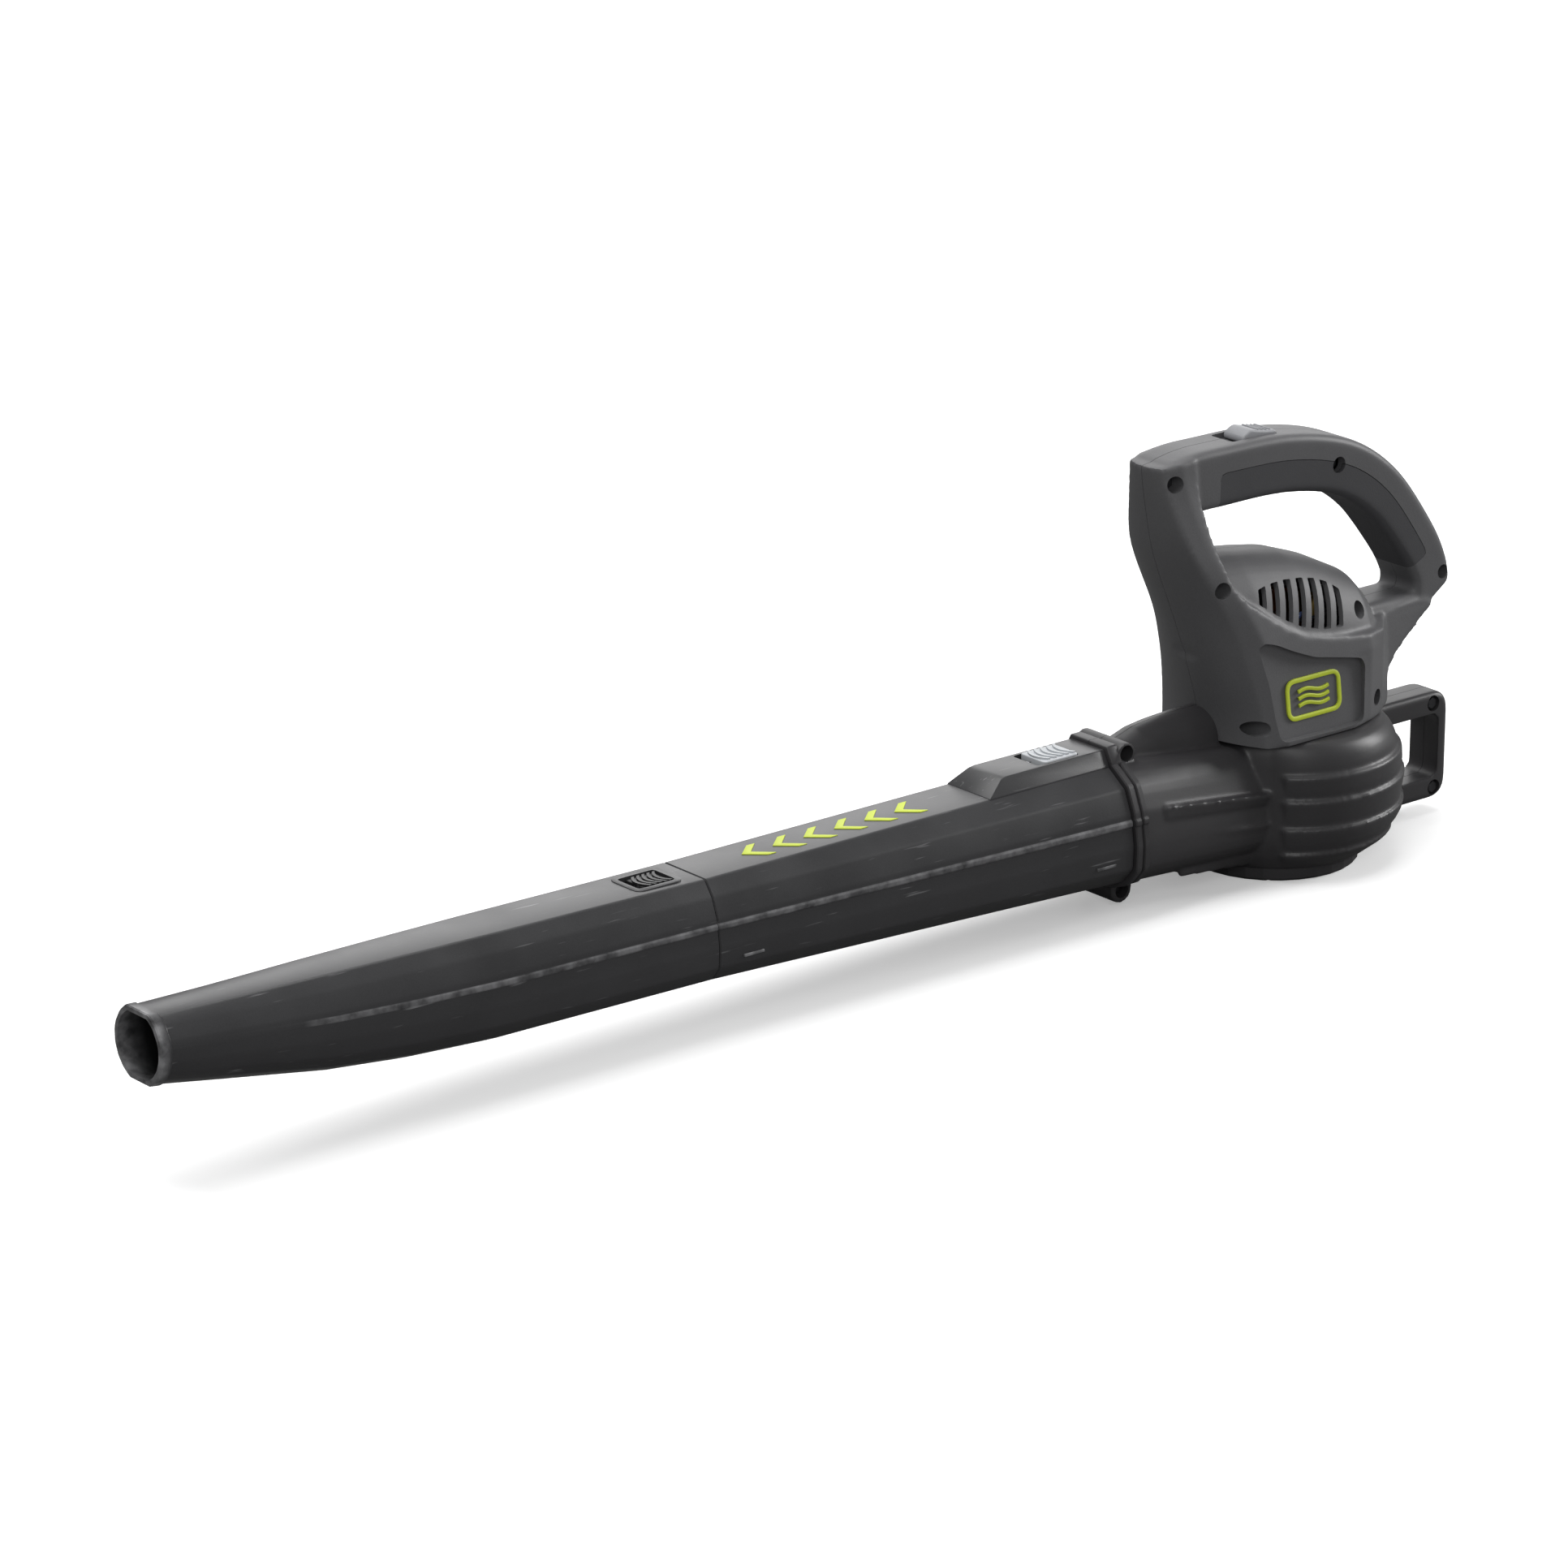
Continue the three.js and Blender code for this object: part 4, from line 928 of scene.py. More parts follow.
    def wear_and_highlight_at(self, x: float, y: float, z: float) -> float:
        """How much lighter the tubes are painted at a place: real wear at the nozzle's mouth and a painted
        highlight along the side ridge.

        Args:
            x: the place along the tubes.
            y: the place across them.
            z: the height.

        Returns:
            The level of wear and painted highlight, from 0 to 1.
        """
        ring = self.section(x)
        down = (ring.top - z) / (ring.top - ring.bottom)
        if abs(x - self.nose) < 1.6:
            return 1.0
        # painted highlight: the raised side ridge is lightened, standing in for the light it catches
        if 0.372 < down < 0.432 and ring.ridge > 0.2 and abs(y) > 0.9 * ring.half:
            return 0.5
        return 0.0

    def button(self, name: str, latch: tuple[float, float, float], floor: float, height: float) -> Obj:
        """A sliding button with curved grip ribs.

        Args:
            name: the piece's name.
            latch: its front, its rear and its half-width.
            floor: the floor of its pocket.
            height: its height.

        Returns:
            The button.
        """
        front, rear, half = latch
        top = floor + height
        body = soften(plate(name, oblong(front, rear, half, 2.2, 5), floor, top - 1.0, "z"), 0.6, 60)
        ribs = []
        for i in range(self.button_ribs):
            middle = front + (rear - front) * (i + 0.75) / (self.button_ribs + 0.5)
            arc = [(middle + 5.0 * share ** 2 - 2.0, half * share) for share in np.linspace(-0.84, 0.84, 9)]
            outline = [(x - 0.95, y) for x, y in arc] + [(x + 0.95, y) for x, y in reversed(arc)]
            ribs.append(plate("rib", outline, top - 2.2, top + 0.2, "z"))
        return smooth_faces(carve(body, ribs, Cut.ADD), 35)

    def chevrons(self) -> Obj:
        """Plain raised arrowheads along the top that show which way the air goes.

        Returns:
            The arrowheads in one object.
        """
        marks = []
        for i in range(6):
            tip, half = self.chevron_tip - self.chevron_step * i, self.chevron_half
            outline = [(tip - 11, 0), (tip, -half), (tip + 6, -half), (tip - 4.5, 0), (tip + 6, half),
                       (tip, half)]
            top = self.section(tip).top
            marks.append(soften(plate("mark", outline, top - 0.4, top + 0.45, "z"), 0.2, 50, 2))
        return smooth_faces(merge("airflow_chevrons", marks), 35)

    def dashes(self) -> Obj:
        """Small raised dashes on the near side, beside each end of the upper tube.

        Returns:
            The dashes in one object.
        """
        bars = []
        for x in (-420.0, -168.0):
            ring = self.section(x)
            height = ring.top - ring.bottom
            z = ring.top - 0.72 * height
            y = -ring.half * 0.995
            bars.append(soften(box("dash", (x - 7, y - 0.7, z - 0.8), (x + 7, y + 1.5, z + 0.8)), 0.3))
        # painted highlight: the dashes are lightened through the wear mask, standing in for light caught on
        # their raised edges
        return mark_wear_and_highlight(smooth_faces(merge("index_dashes", bars)), lambda x, y, z: 0.9)

    def build(self) -> None:
        """Make the tubes, their buttons and their markings."""
        paint = self.palette.paint
        ride(paint(self.upper(), "tube_plastic"), "body", ["upper_tube"])
        ride(paint(self.nozzle(), "tube_plastic"), "body", ["nozzle_tube"])
        upper = self.button("upper_release_button", self.upper_latch, 92.3, 8.5)
        ride(paint(upper, "light_button"), "upper_latch", ["upper_latch_button"])
        nozzle = self.button("nozzle_release_button", self.nozzle_latch, 85.3, 5.0)
        tooth = box("tooth", (-465.5, -4, 80), (-460.5, 4, 86))
        nozzle = smooth_faces(carve(nozzle, [tooth], Cut.ADD))
        ride(paint(nozzle, "black_button"), "nozzle_latch", ["nozzle_latch_button"])
        ride(paint(self.chevrons(), "marking_lime"), "body")
        ride(paint(self.dashes(), "tube_plastic"), "body")


# ---------------------------------------------------------------- the fan housing


@dataclass
class FanHousing:
    """The round drum, its duct, collar, spine and rear loop, in two halves.

    A ledge has the height of its edge and how far below that it ends. The wall line gives the duct's near side
    up its height.
    """

    palette: Palette
    tubes: AirTubes
    tongue: float = 60.0
    rear: float = 84.0
    far: float = 76.0
    ledges: tuple[Flat, ...] = ((67.0, 14.5), (52.0, 16.5), (35.0, 16.0), (18.5, 9.5))
    screws: tuple[Flat, ...] = ((-134, 95), (121, 70), (123.5, 16.5), (-134, 11.5))
    well: float = 4.9
    wall_line: tuple[tuple[float, ...], ...] = ((18, 24, 30, 50), (-31.5, -34.0, -40.4, -41.2))

    def scroll(self, angle: float) -> float:
        """The drum's widest radius in a direction, in degrees.

        Args:
            angle: the direction in degrees.

        Returns:
            The radius in millimetres.
        """
        swept = (angle + 135) % 360
        knots = (0, 20, 70, 110, 145, 225, 300, 360)
        radii = (self.tongue, 63.5, 72.5, 80, self.rear, self.far, 66, self.tongue)
        return float(np.interp(swept, knots, radii))

    def profile(self, z: float) -> float:
        """The share of the scroll's width at a height.

        Args:
            z: the height.

        Returns:
            The share.
        """
        heights = (4, 9, 16, 24, 30.5, 43, 58, 73.5, 79.5, 84, 86)
        shares = (0.0, 0.29, 0.66, 0.9, 0.985, 1, 0.985, 0.83, 0.70, 0.5, 0.3)
        return float(np.interp(z, heights, shares))

    def ring(self, z: float, grow: float, count: int = 120, tuck: bool = False) -> list[Point]:
        """A ring of the drum at a height, grown outwards, and tucked inside the duct if asked.

        Args:
            z: the height.
            grow: how far outwards, in millimetres.
            count: how many points.
            tuck: whether it is tucked inside the duct.

        Returns:
            The ring's points.
        """
        inner, share = 53.0, self.profile(z)
        result = []
        for i in range(count):
            turn = math.radians(360 * i / count)
            reach = inner + (self.scroll(math.degrees(turn)) - inner) * share + grow
            if tuck:
                swept = (math.degrees(turn) + 135) % 360
                reach -= 9 * float(np.interp(swept, (0, 9, 300, 330, 360), (0.6, 0, 0, 1, 1)))
            result.append((reach * math.cos(turn), reach * math.sin(turn), z))
        return result

    def drum(self, grow: float, low: float, high: float, levels: int) -> Obj:
        """The drum, or a slice of it."""
        return skin("drum", [self.ring(z, grow) for z in np.linspace(low, high, levels)])

    def duct_section(self, share: float) -> Section:
        """The duct's section from the collar (0) back to the middle of the drum (1).

        Args:
            share: how far back, from 0 to 1.

        Returns:
            The section there.
        """
        keep = np.interp
        return Section(
            x=-147 + 137 * share, half=keep(share, (0, 1), (42, 41)), far=keep(share, (0, 1), (42, 74.5)),
            top=keep(share, (0, 0.6, 1), (91, 83.5, 82)), bottom=keep(share, (0, 1), (18, 10.5)),
            flat=keep(share, (0, 1), (20, 31)),
        )

    def duct(self, inward: float) -> Obj:
        """The duct from the collar into the drum."""
        return skin("duct", [self.duct_section(share).ring(inward, 5.0) for share in np.linspace(0, 1, 9)])

    def loop(self) -> Obj:
        """The open loop behind the drum.

        Returns:
            The loop.
        """
        outer = rounded([(45, 9.5), (134, 9.5), (134, 77), (45, 77)], 13, 8)
        inner = rounded([(60, 23), (126, 23), (126, 63.5), (60, 63.5)], 7, 6)
        body = soften(plate("loop", outer, -12, 12), 3.5, 40, 4)
        return carve(body, [plate("hole", inner, -30, 30)])

    def spine(self) -> Obj:
        """The rounded spine along the top of the duct.

        Returns:
            The spine.
        """
        rows = []
        crest = ((-140, 93, 11), (-134, 96.5, 12), (-124, 99, 13), (-113, 102.5, 14), (-98, 104.2, 15),
                 (-78, 105, 16), (-58, 105, 16))
        for x, top, half in crest:
            rows.append([(x, half * math.sin(t), 78 + (top - 78) * max(0.0, math.cos(t)) ** 0.62)
                         for t in np.linspace(-math.pi / 2, math.pi / 2, 17)])
        return skin("spine", rows)

    def collar_rims(self) -> list[Obj]:
        """Two raised rims round the collar and the block on top of it.

        Returns:
            The rims and the block.
        """
        ring = self.tubes.section(-147.0)

        def hoop(low: float, high: float, grow: float) -> Obj:
            """A rim between two places along the collar, grown outwards."""
            rows = [(low, grow - 0.8), (low + 0.6, grow), (high - 0.6, grow), (high, grow - 0.8)]
            return skin("hoop", [[(x, y, z) for _, y, z in ring.ring(-out, 2.0)] for x, out in rows])

        outline = [(-20.5, 80), (20.5, 80), (20.5, 92), (15.5, 101), (-15.5, 101), (-20.5, 92)]
        cap = soften(plate("cap", outline, -147, -139, "x"), 1.0, 30)
        return [hoop(-147, -142.6, 2.6), hoop(-143, -140.6, 1.2), hoop(-141, -136.8, 2.4), cap]

    def ribs(self) -> list[Obj]:
        """Tapering ribs that carry the drum's ledges forward along the duct's near wall.

        Returns:
            The ribs.
        """
        places = (((-122, 65.5), (-40, 56.5)), ((-108, 44), (-42, 38.5)), ((-104, 24), (-40, 17.5)))
        made = []
        for (x0, z0), (x1, z1) in places:
            rows = []
            for share in np.linspace(0, 1, 9):
                x, z = x0 + (x1 - x0) * share, z0 + (z1 - z0) * share
                out = -0.5 + 2.2 * min(1.0, share * 1.3)
                wall = float(np.interp(z, *self.wall_line))
                rows.append([(x, wall + 3, z + 0.4), (x, wall - out, z), (x, wall - out + 0.3, z - 1.6),
                             (x, wall + 0.4, z - 7), (x, wall + 3, z - 7)])
            made.append(skin("rib", rows))
        return made

    def build(self) -> None:
        """Make both halves."""
        web = box("web", (-142, -16.5, 11.5), (-126, 16.5, 24))
        lobe = merge("lobe", [pin("lobe", (-134, 0, 11.5), 8, 33), web])
        lobe_top = pin("lobe_top", (-134, 0, 94), 7.2, 37)
        bands = []
        for top, below in self.ledges:
            rows = [self.ring(top - below * share, 1.2 - 2.7 * share, tuck=True)
                    for share in (1.0, 0.6, 0.3, 0.04)]
            rows.append(self.ring(top, 1.0, tuck=True))
            bands.append(skin("band", rows))
        body = merge("housing", [self.drum(-1.2, 8.4, 86, 30), self.duct(0), self.loop(), self.spine(),
                                 lobe, lobe_top, *bands, *self.ribs()])
        mould(body, 1.2, 4)
        body = carve(body, self.collar_rims(), Cut.ADD)
        tubes = self.tubes
        spigot = skin("spigot", [tubes.section(x).ring(2.7) for x in (-140, -147, -160, -177)])
        body = carve(body, [spigot], Cut.ADD)
        chamber = skin("chamber", [self.ring(z, -4.0, 48) for z in np.linspace(12, 81, 14)])
        passage = skin("passage", [self.duct_section(share).ring(3.2, 3.0) for share in (0.08, 0.3, 1)])
        throat = skin("throat", [tubes.section(x).ring(5.2) for x in (-125, -147, -178)])
        eye = pin("eye", (0, 0, 6), 37, 16, "z", 64)
        wells = [cutter for x, z in self.screws for cutter in screw_well(x, z, self.well)]
        shaft = pin("shaft", (0, 0, 84), 16, 14, "z", 32)
        body = carve(body, [chamber, passage, throat, eye, shaft, *wells])
        body = carve(body, [pin("cover_seat", (0, 0, 4), 52.3, 8.65, "z", 96)])
        for side, half in zip(SIDES, halves(body, "housing_shell_{}", 34)):
            # painted shade: the housing halves take the darker, shaded copy of the shell plastic
            ride(self.palette.paint(half, "dark_shell"), "body", [f"fan_housing_{side}"])


# ---------------------------------------------------------------- the handle and the motor's shells


@dataclass
class HandleShells:
    """The tower, the vented dome and the looped handle, in two halves, with the soft grip and the switch.

    A screw has its X, its height and its well's radius. The recess and the wall are depths.
    """

    palette: Palette
    top: float = 262.5
    wall: float = 3.4
    recess: float = 5.0
    loop_half: float = 17.0
    core_half: float = 11.0
    core_depth: float = 6.0
    tail_half: float = 18.0
    waist: float = 160.0
    grip_from: float = 0.165
    grip_to: float = 0.9
    screws: tuple[Point, ...] = ((-99, 248, 5.0), (31, 236, 5.0), (120, 154, 4.4), (-75, 184, 5.0),
                                 (35, 151, 5.0), (44, 97.5, 5.0), (-51, 97.5, 5.0))

    def back(self, count: int = 41) -> list[Flat]:
        """The back of the handle, from the neck over the top to the rear corner.

        Args:
            count: how many points.

        Returns:
            The line.
        """
        t = self.top
        return along([(-111, t - 5), (-85, t - 0.5), (-60, t), (-5, t - 2), (44, t - 14), (81, t - 38),
                      (111, t - 75), (124, 164), (128, 147)], count)

    def below(self, start: float, end: float, depth: Callable[[float], float], count: int) -> list[Flat]:
        """A line that follows the back of the handle at a depth, between two shares of its length.

        Args:
            start: the share at the line's start.
            end: the share at its end.
            depth: the depth at a share of the line.
            count: how many points.

        Returns:
            The line.
        """
        line = self.back(201)
        moved = offset(line, [depth(i / 200) for i in range(201)])
        return [moved[int(round(share * 200))] for share in np.linspace(start, end, count)]

    @staticmethod
    def flank(z: float) -> float:
        """The half-width of the tower's flat side at a height."""
        return float(np.interp(z, (86, 100, 126, 157), (51, 50.5, 47, 41)))

    @staticmethod
    def grip_depth(share: float) -> float:
        """The handle's height at a share of its length."""
        return 36 - 8 * share * share

    def loop_outline(self, inward: float) -> list[Flat]:
        """The loop, with its rear corner and the slope down to the waist.

        Args:
            inward: how far inside the outer skin.

        Returns:
            The outline.
        """
        back = self.below(0, 1, lambda s: inward, 41)
        under = self.below(0.965, 0.125, lambda s: self.grip_depth(s) - inward, 31)
        floor = under[0][1] - 6
        return [*back[1:], (77 - inward, 112 + inward), (52, 112 + inward), (52, floor - inward),
                (under[0][0], floor - inward), *under, (-97 + inward, under[-1][1] + inward)]

    def front(self) -> list[Flat]:
        """The front of the tower, from its foot up to the neck."""
        return along([(-61, 98), (-64.5, 122), (-79, 152), (-96, 188), (-107, 228.5),
                      (-111, self.top - 5)], 24)

    def plate_outline(self, inward: float) -> list[Flat]:
        """The tower's side plate, up to the neck and back along its low arc.

        Args:
            inward: how far inside the outer skin.

        Returns:
            The outline.
        """
        front = [(x + inward, z - 1.6 * inward * (z - 86) / (self.top - 86)) for x, z in self.front()]
        arc = along([(-57, 173.5), (-50, 168.5), (-40, 161), (-30, 154.5), (-16.5, 148), (0, 143.5),
                     (15, 141.5), (40, 139), (60, 138), (98, 141), (112, 137)], 24)
        leg = along([(-82, 238), (-80.5, 225), (-77.5, 211.5), (-72.3, 197.7), (-66.4, 183.6),
                     (-57, 173.5)], 12)
        return [(-61 + inward, 86), *front, (-84, self.top - 2 - inward), *[(x - inward, z) for x, z in leg],
                *[(x, z - inward) for x, z in arc[1:]], (77 - inward, 112), (68 - inward, 101),
                (67 - inward, 86)]

    def nose(self, inward: float) -> Obj:
        """The tower in plan up its height: a blunt nose that opens to flat sides.

        Args:
            inward: how far inside the outer skin.

        Returns:
            The solid.
        """
        rows = np.array([  # height, nose, ridge, half-width at the ridge, half-width of the flank
            (82, -61, -48, 45, 51), (100, -61, -49, 44, 50.5), (126, -69, -55, 39.5, 47),
            (157, -80, -65, 35.5, 41), (196, -97, -88, 30, 32), (211, -102, -96, 26, 28),
            (247, -109, -105.5, 15, 18.5), (271, -111, -108, 12, 17),
        ], float)
        rings = []
        for z in np.linspace(82, 271, 40):
            near = z + np.linspace(-11, 11, 9)
            nose, ridge, half, side = (float(np.interp(near, rows[:, 0], rows[:, k]).mean())
                                       for k in (1, 2, 3, 4))
            edge = [(nose + (ridge - nose) * s * s + inward, (half - inward) * s)
                    for s in np.linspace(0.12, 1, 8)]
            full = z < self.waist
            tail = self.tail_half if full else min(side, self.tail_half)
            rear = [(70, max(tail, side - 26) if full else tail), (140, tail)]
            flank = [(ridge + 12, side - inward), (18, side - inward), (34, min(side - inward, 46 - inward)),
                     (52, min(side - inward, 37 - inward)), *[(x, y - inward) for x, y in rear]]
            line = [*edge, *flank]
            rings.append([(x, -y, z) for x, y in reversed(line)] + [(nose + inward, 0, z)]
                         + [(x, y, z) for x, y in line])
        return skin("nose", rings)

    def dome(self, inward: float) -> Obj:
        """The rounded cover over the motor, behind the tower's front.

        Args:
            inward: how far inside the outer skin.

        Returns:
            The solid.
        """
        stops = (-72, -66, -48, -30, -10, 16, 43, 57, 64, 66.5)
        tops = (198, 198, 197, 194.5, 191, 182, 169, 156, 143, 132)
        widths = (40, 44, 46, 46, 46, 46, 41, 31, 22, 17)
        rings = []
        for x in np.linspace(-72 + inward, 66.5 - inward, 36):
            top = float(np.interp(x, stops, tops)) - inward
            half = float(np.interp(x, stops, widths)) - inward
            ring = []
            for turn in np.linspace(-math.pi / 2, math.pi / 2, 33):
                y = half * math.copysign(abs(math.sin(turn)) ** (2 / 2.35), turn)
                z = 98 + (top - 98) * abs(math.cos(turn)) ** (2 / 2.35)
                ring.append((x, y, z))
            rings.append([(x, -half, 80), *ring, (x, half, 80)])
        return skin("dome", rings)

    def solids(self, inward: float) -> list[Obj]:
        """The overlapping solids whose union is the handle, moved inwards.

        Args:
            inward: how far inside the outer skin.

        Returns:
            The solids.
        """
        tower = carve(plate("tower", self.plate_outline(inward), -70, 70), [self.nose(inward)], Cut.KEEP)
        half = self.core_half if inward else self.loop_half
        loop = plate("loop", self.loop_outline(self.core_depth if inward else 0), -half, half)
        if inward == 0:
            soften(loop, 9.5, 30, 5)
        dome = carve(self.dome(inward), [self.nose(inward)], Cut.KEEP)
        if inward == 0:
            return [tower, dome, loop, soften(self.slope("surround", -18, -0.6, 17, 14.5), 2.5, 40)]
        return [tower, dome, loop]

    def vents(self) -> list[Obj]:
        """Seven leaning slots on each side, which together fill a leaf-shaped field.

        Returns:
            The slots' cutters.
        """
        upper = np.array([(-58, 176.5), (-36, 179.5), (-23, 179.5), (-9.5, 178), (4, 175), (15, 170.5),
                          (28, 161)])
        lower = np.array([(-58, 176), (-50, 172.5), (-40, 165.5), (-30, 159), (-16.5, 152.1), (0, 147.8),
                          (15, 146.5), (28, 148.5)])
        middle, lean, half = 163.0, 0.34, 3.1

        def edge(x: float, field_edge: np.ndarray) -> Flat:
            """Where a slot that leans through a place meets an edge of the field.

            Args:
                x: the slot's place at mid height.
                field_edge: the field's edge.

            Returns:
                The meeting point.
            """
            z = middle
            for _ in range(8):
                z = float(np.interp(x + lean * (z - middle), field_edge[:, 0], field_edge[:, 1]))
            return x + lean * (z - middle), z

        made = []
        for x in np.linspace(-47, 18, 7):
            outline = [edge(x + across, upper) for across in np.linspace(-half, half, 5)]
            outline += [edge(x + across, lower) for across in np.linspace(half, -half, 5)]
            corners = rounded(outline, 1.0)
            made += [plate("slot", corners, low, high) for low, high in ((-70, -16), (16, 70))]
        return made

    def panel(self, side: int, wall: float = 0.0) -> Obj:
        """The cutter for the recessed panel on one side, or the panel's wall if that is given.

        Args:
            side: 1 or -1 for the side of the blower.
            wall: the wall's thickness, or 0 for the cutter.

        Returns:
            The cutter or the wall.
        """
        outline = rounded([(-53.5, 147), (-49.8, 149.6), (-41.3, 147.4), (-28, 141), (-11.7, 134.5),
                           (11.4, 130), (25, 127), (28, 122), (27, 107), (26.3, 89), (0, 88.5),
                           (-40.5, 89.5), (-43.6, 102.6), (-47, 123)], 4, 5)
        centre = np.array([-13.0, 115.0])
        grown = [centre + (np.array(p) - centre) * (1 + wall / 24) for p in outline]
        outline = [(float(x), float(z)) for x, z in grown]

        def floor(z: float) -> float:
            """How far out the recess's floor lies at a height."""
            return self.flank(z) - self.recess - wall

        rows = [[(x, side * floor(z), z) for x, z in outline], [(x, side * 75, z) for x, z in outline]]
        return skin("panel", rows)

    def grip_region(self, growth: float) -> Obj:
        """The part of the handle that the soft grip covers, seen from the side.

        Args:
            growth: how far the region is grown, in millimetres.

        Returns:
            The region as a solid.
        """
        start, end = self.grip_from - growth / 250, self.grip_to + growth / 250
        seam = self.below(start, end, lambda share: 15 - growth, 26)
        under = self.below(end, start, lambda share: self.grip_depth(share) + 6, 26)
        return plate("region", rounded([*seam, *under], 6), -30, 30)

    def switch(self) -> Obj:
        """The thumb slide: a humped pad with cross ribs on a stem.

        Returns:
            The slide.
        """
        seat = 259.3
        line = along([(-38.5, seat + 3), (-36, seat + 5.2), (-31.5, seat + 7.0), (-27.5, seat + 6.2),
                      (-20, seat + 4.8), (-12, seat + 3.9)], 22)
        pad = soften(plate("thumb_slide", [(-38.5, seat), *line, (-12, seat)], -8.5, 8.5), 1.3, 40, 3)
        ribs = []
        for i in range(4):
            x = -25 + 3.1 * i
            z = float(np.interp(x, [p[0] for p in line], [p[1] for p in line]))
            ribs.append(soften(box("rib", (x - 0.55, -6.8, z - 1), (x + 0.55, 6.8, z + 0.75)), 0.35))
        stem = box("stem", (-30, -3.5, 251.4), (-22, 3.5, seat + 1.5))
        foot = box("foot", (-32, -6.5, 251.4), (-20, 6.5, 253.4))
        return smooth_faces(carve(pad, [*ribs, stem, foot], Cut.ADD), 35)

    def emblem(self, side: int) -> Obj:
        """A plain badge in the recess: a rounded frame and three breeze lines.

        Args:
            side: 1 or -1 for the side of the blower.

        Returns:
            The badge.
        """
        cx, cz, wide, tall, reach = -11.0, 111.0, 20.5, 11.0, 12.0

        def out(z: float, height: float) -> float:
            """How far out a place on the badge lies."""
            return side * (self.flank(z) - self.recess + height)

        def ribbon(line: Sequence[Flat], thick: float, closed: bool) -> Obj:
            """A raised ribbon along a line.

            Args:
                line: the line in X and Z.
                thick: the ribbon's width.
                closed: whether the line runs round.

            Returns:
                The ribbon.
            """
            pts = np.array(line, float)
            way = np.gradient(np.vstack([pts[-1:], pts, pts[:1]]) if closed else pts, axis=0)
            way = way[1:-1] if closed else way
            way /= np.linalg.norm(way, axis=1)[:, None]
            normal = np.column_stack([-way[:, 1], way[:, 0]]) * thick / 2
            rows = []
            for (x, z), (nx, nz) in zip(pts, normal):
                rows.append([(x - nx, out(z - nz, -0.6), z - nz), (x - nx, out(z - nz, 0.35), z - nz),
                             (x - nx * 0.6, out(z, 0.6), z - nz * 0.6),
                             (x + nx * 0.6, out(z, 0.6), z + nz * 0.6),
                             (x + nx, out(z + nz, 0.35), z + nz), (x + nx, out(z + nz, -0.6), z + nz)])
            return skin("ribbon", rows, closed)

        ring = rounded([(cx - wide, cz - tall), (cx + wide, cz - tall), (cx + wide, cz + tall),
                        (cx - wide, cz + tall)], 6, 8)
        parts = [ribbon(ring, 2.6, True)]
        for row in (4.1, 0, -4.1):
            line = [(cx - reach + 2 * reach * s, cz + row + 1.1 * math.sin(2 * math.pi * s))
                    for s in np.linspace(0, 1, 16)]
            parts.append(ribbon(line, 2.0, False))
        return smooth_faces(merge(f"breeze_badge_{'left' if side < 0 else 'right'}", parts), 40)

    def build(self) -> None:
        """Make both halves, the grip, the switch and the badges."""
        paint = self.palette.paint
        body = mould(merge("handle", self.solids(0)), 1.4, 5)
        hollow = mould(merge("hollow", self.solids(self.wall)), 2.2, 0)
        bosses = [pin("boss", (x, 0, z), 7.2, 200, sides=24) for x, z, _ in self.screws[3:]]
        crown = box("crown", (-130, -40, 238), (-92, 40, 300))
        carve(hollow, [self.panel(-1, self.wall), self.panel(1, self.wall), crown, *bosses])
        core = plate("core", self.loop_outline(3.0), -14, 14)
        grip = carve(copy(body, "grip_cover"), [self.grip_region(0)], Cut.KEEP)
        carve(grip, [core])
        groove = self.grip_region(0.4)
        trimmed = plate("trimmed", self.loop_outline(3.3), -13.7, 13.7)
        groove = carve(groove, [trimmed, box("fore", (-140, -40, 120), (-70.5, 40, 300))])
        wells = [cutter for x, z, wide in self.screws for cutter in screw_well(x, z, wide)]
        carve(grip, wells[2:4], keep_tools=True)
        recess = plate("recess", oblong(-48, -11.2, 9.3, 3, 6), 259, 300, "z")
        slot = box("slot", (-38.6, -4.1, 240), (-21.4, 4.1, 300))
        inlet = self.slope("inlet", -17.5, 12, 11.35, 9.35)
        foot = box("foot", (-FAR, -FAR, -50), (FAR, FAR, 86.2))
        body = carve(body, [hollow, foot, groove, recess, slot, inlet])
        body = carve(body, [merge("slots", self.vents()), self.panel(-1), self.panel(1), *wells])
        for side, half in zip(SIDES, halves(body, "handle_shell_{}_moulding", 36)):
            ride(paint(half, "grey_shell"), "body", [f"handle_shell_{side}"])
        ride(paint(smooth_faces(grip, 36), "soft_grip"), "body", ["grip_insert"])
        ride(paint(self.switch(), "switch_grey"), "switch", ["switch_button"])
        for side in (-1, 1):
            ride(paint(self.emblem(side), "marking_lime"), "body")

    def slope(self, name: str, inner: float, outer: float, half: float, across: float) -> Obj:
        """A block on the slope behind the tower, centred on the power inlet.

        Args:
            name: the piece's name.
            inner: where it starts, along the slope's outward direction.
            outer: where it ends.
            half: its half-length along the slope.
            across: its half-width across the handle.

        Returns:
            The block.
        """
        way = Vector((51, 0, 35)).normalized()
        out = Vector((way.z, 0, -way.x))
        face = Vector((88, 0, 119.5))
        corners = [face + way * a + out * b
                   for a, b in ((-half, inner), (half, inner), (half, outer), (-half, outer))]
        return plate(name, [(c.x, c.z) for c in corners], -across, across)


# ---------------------------------------------------------------- everything else


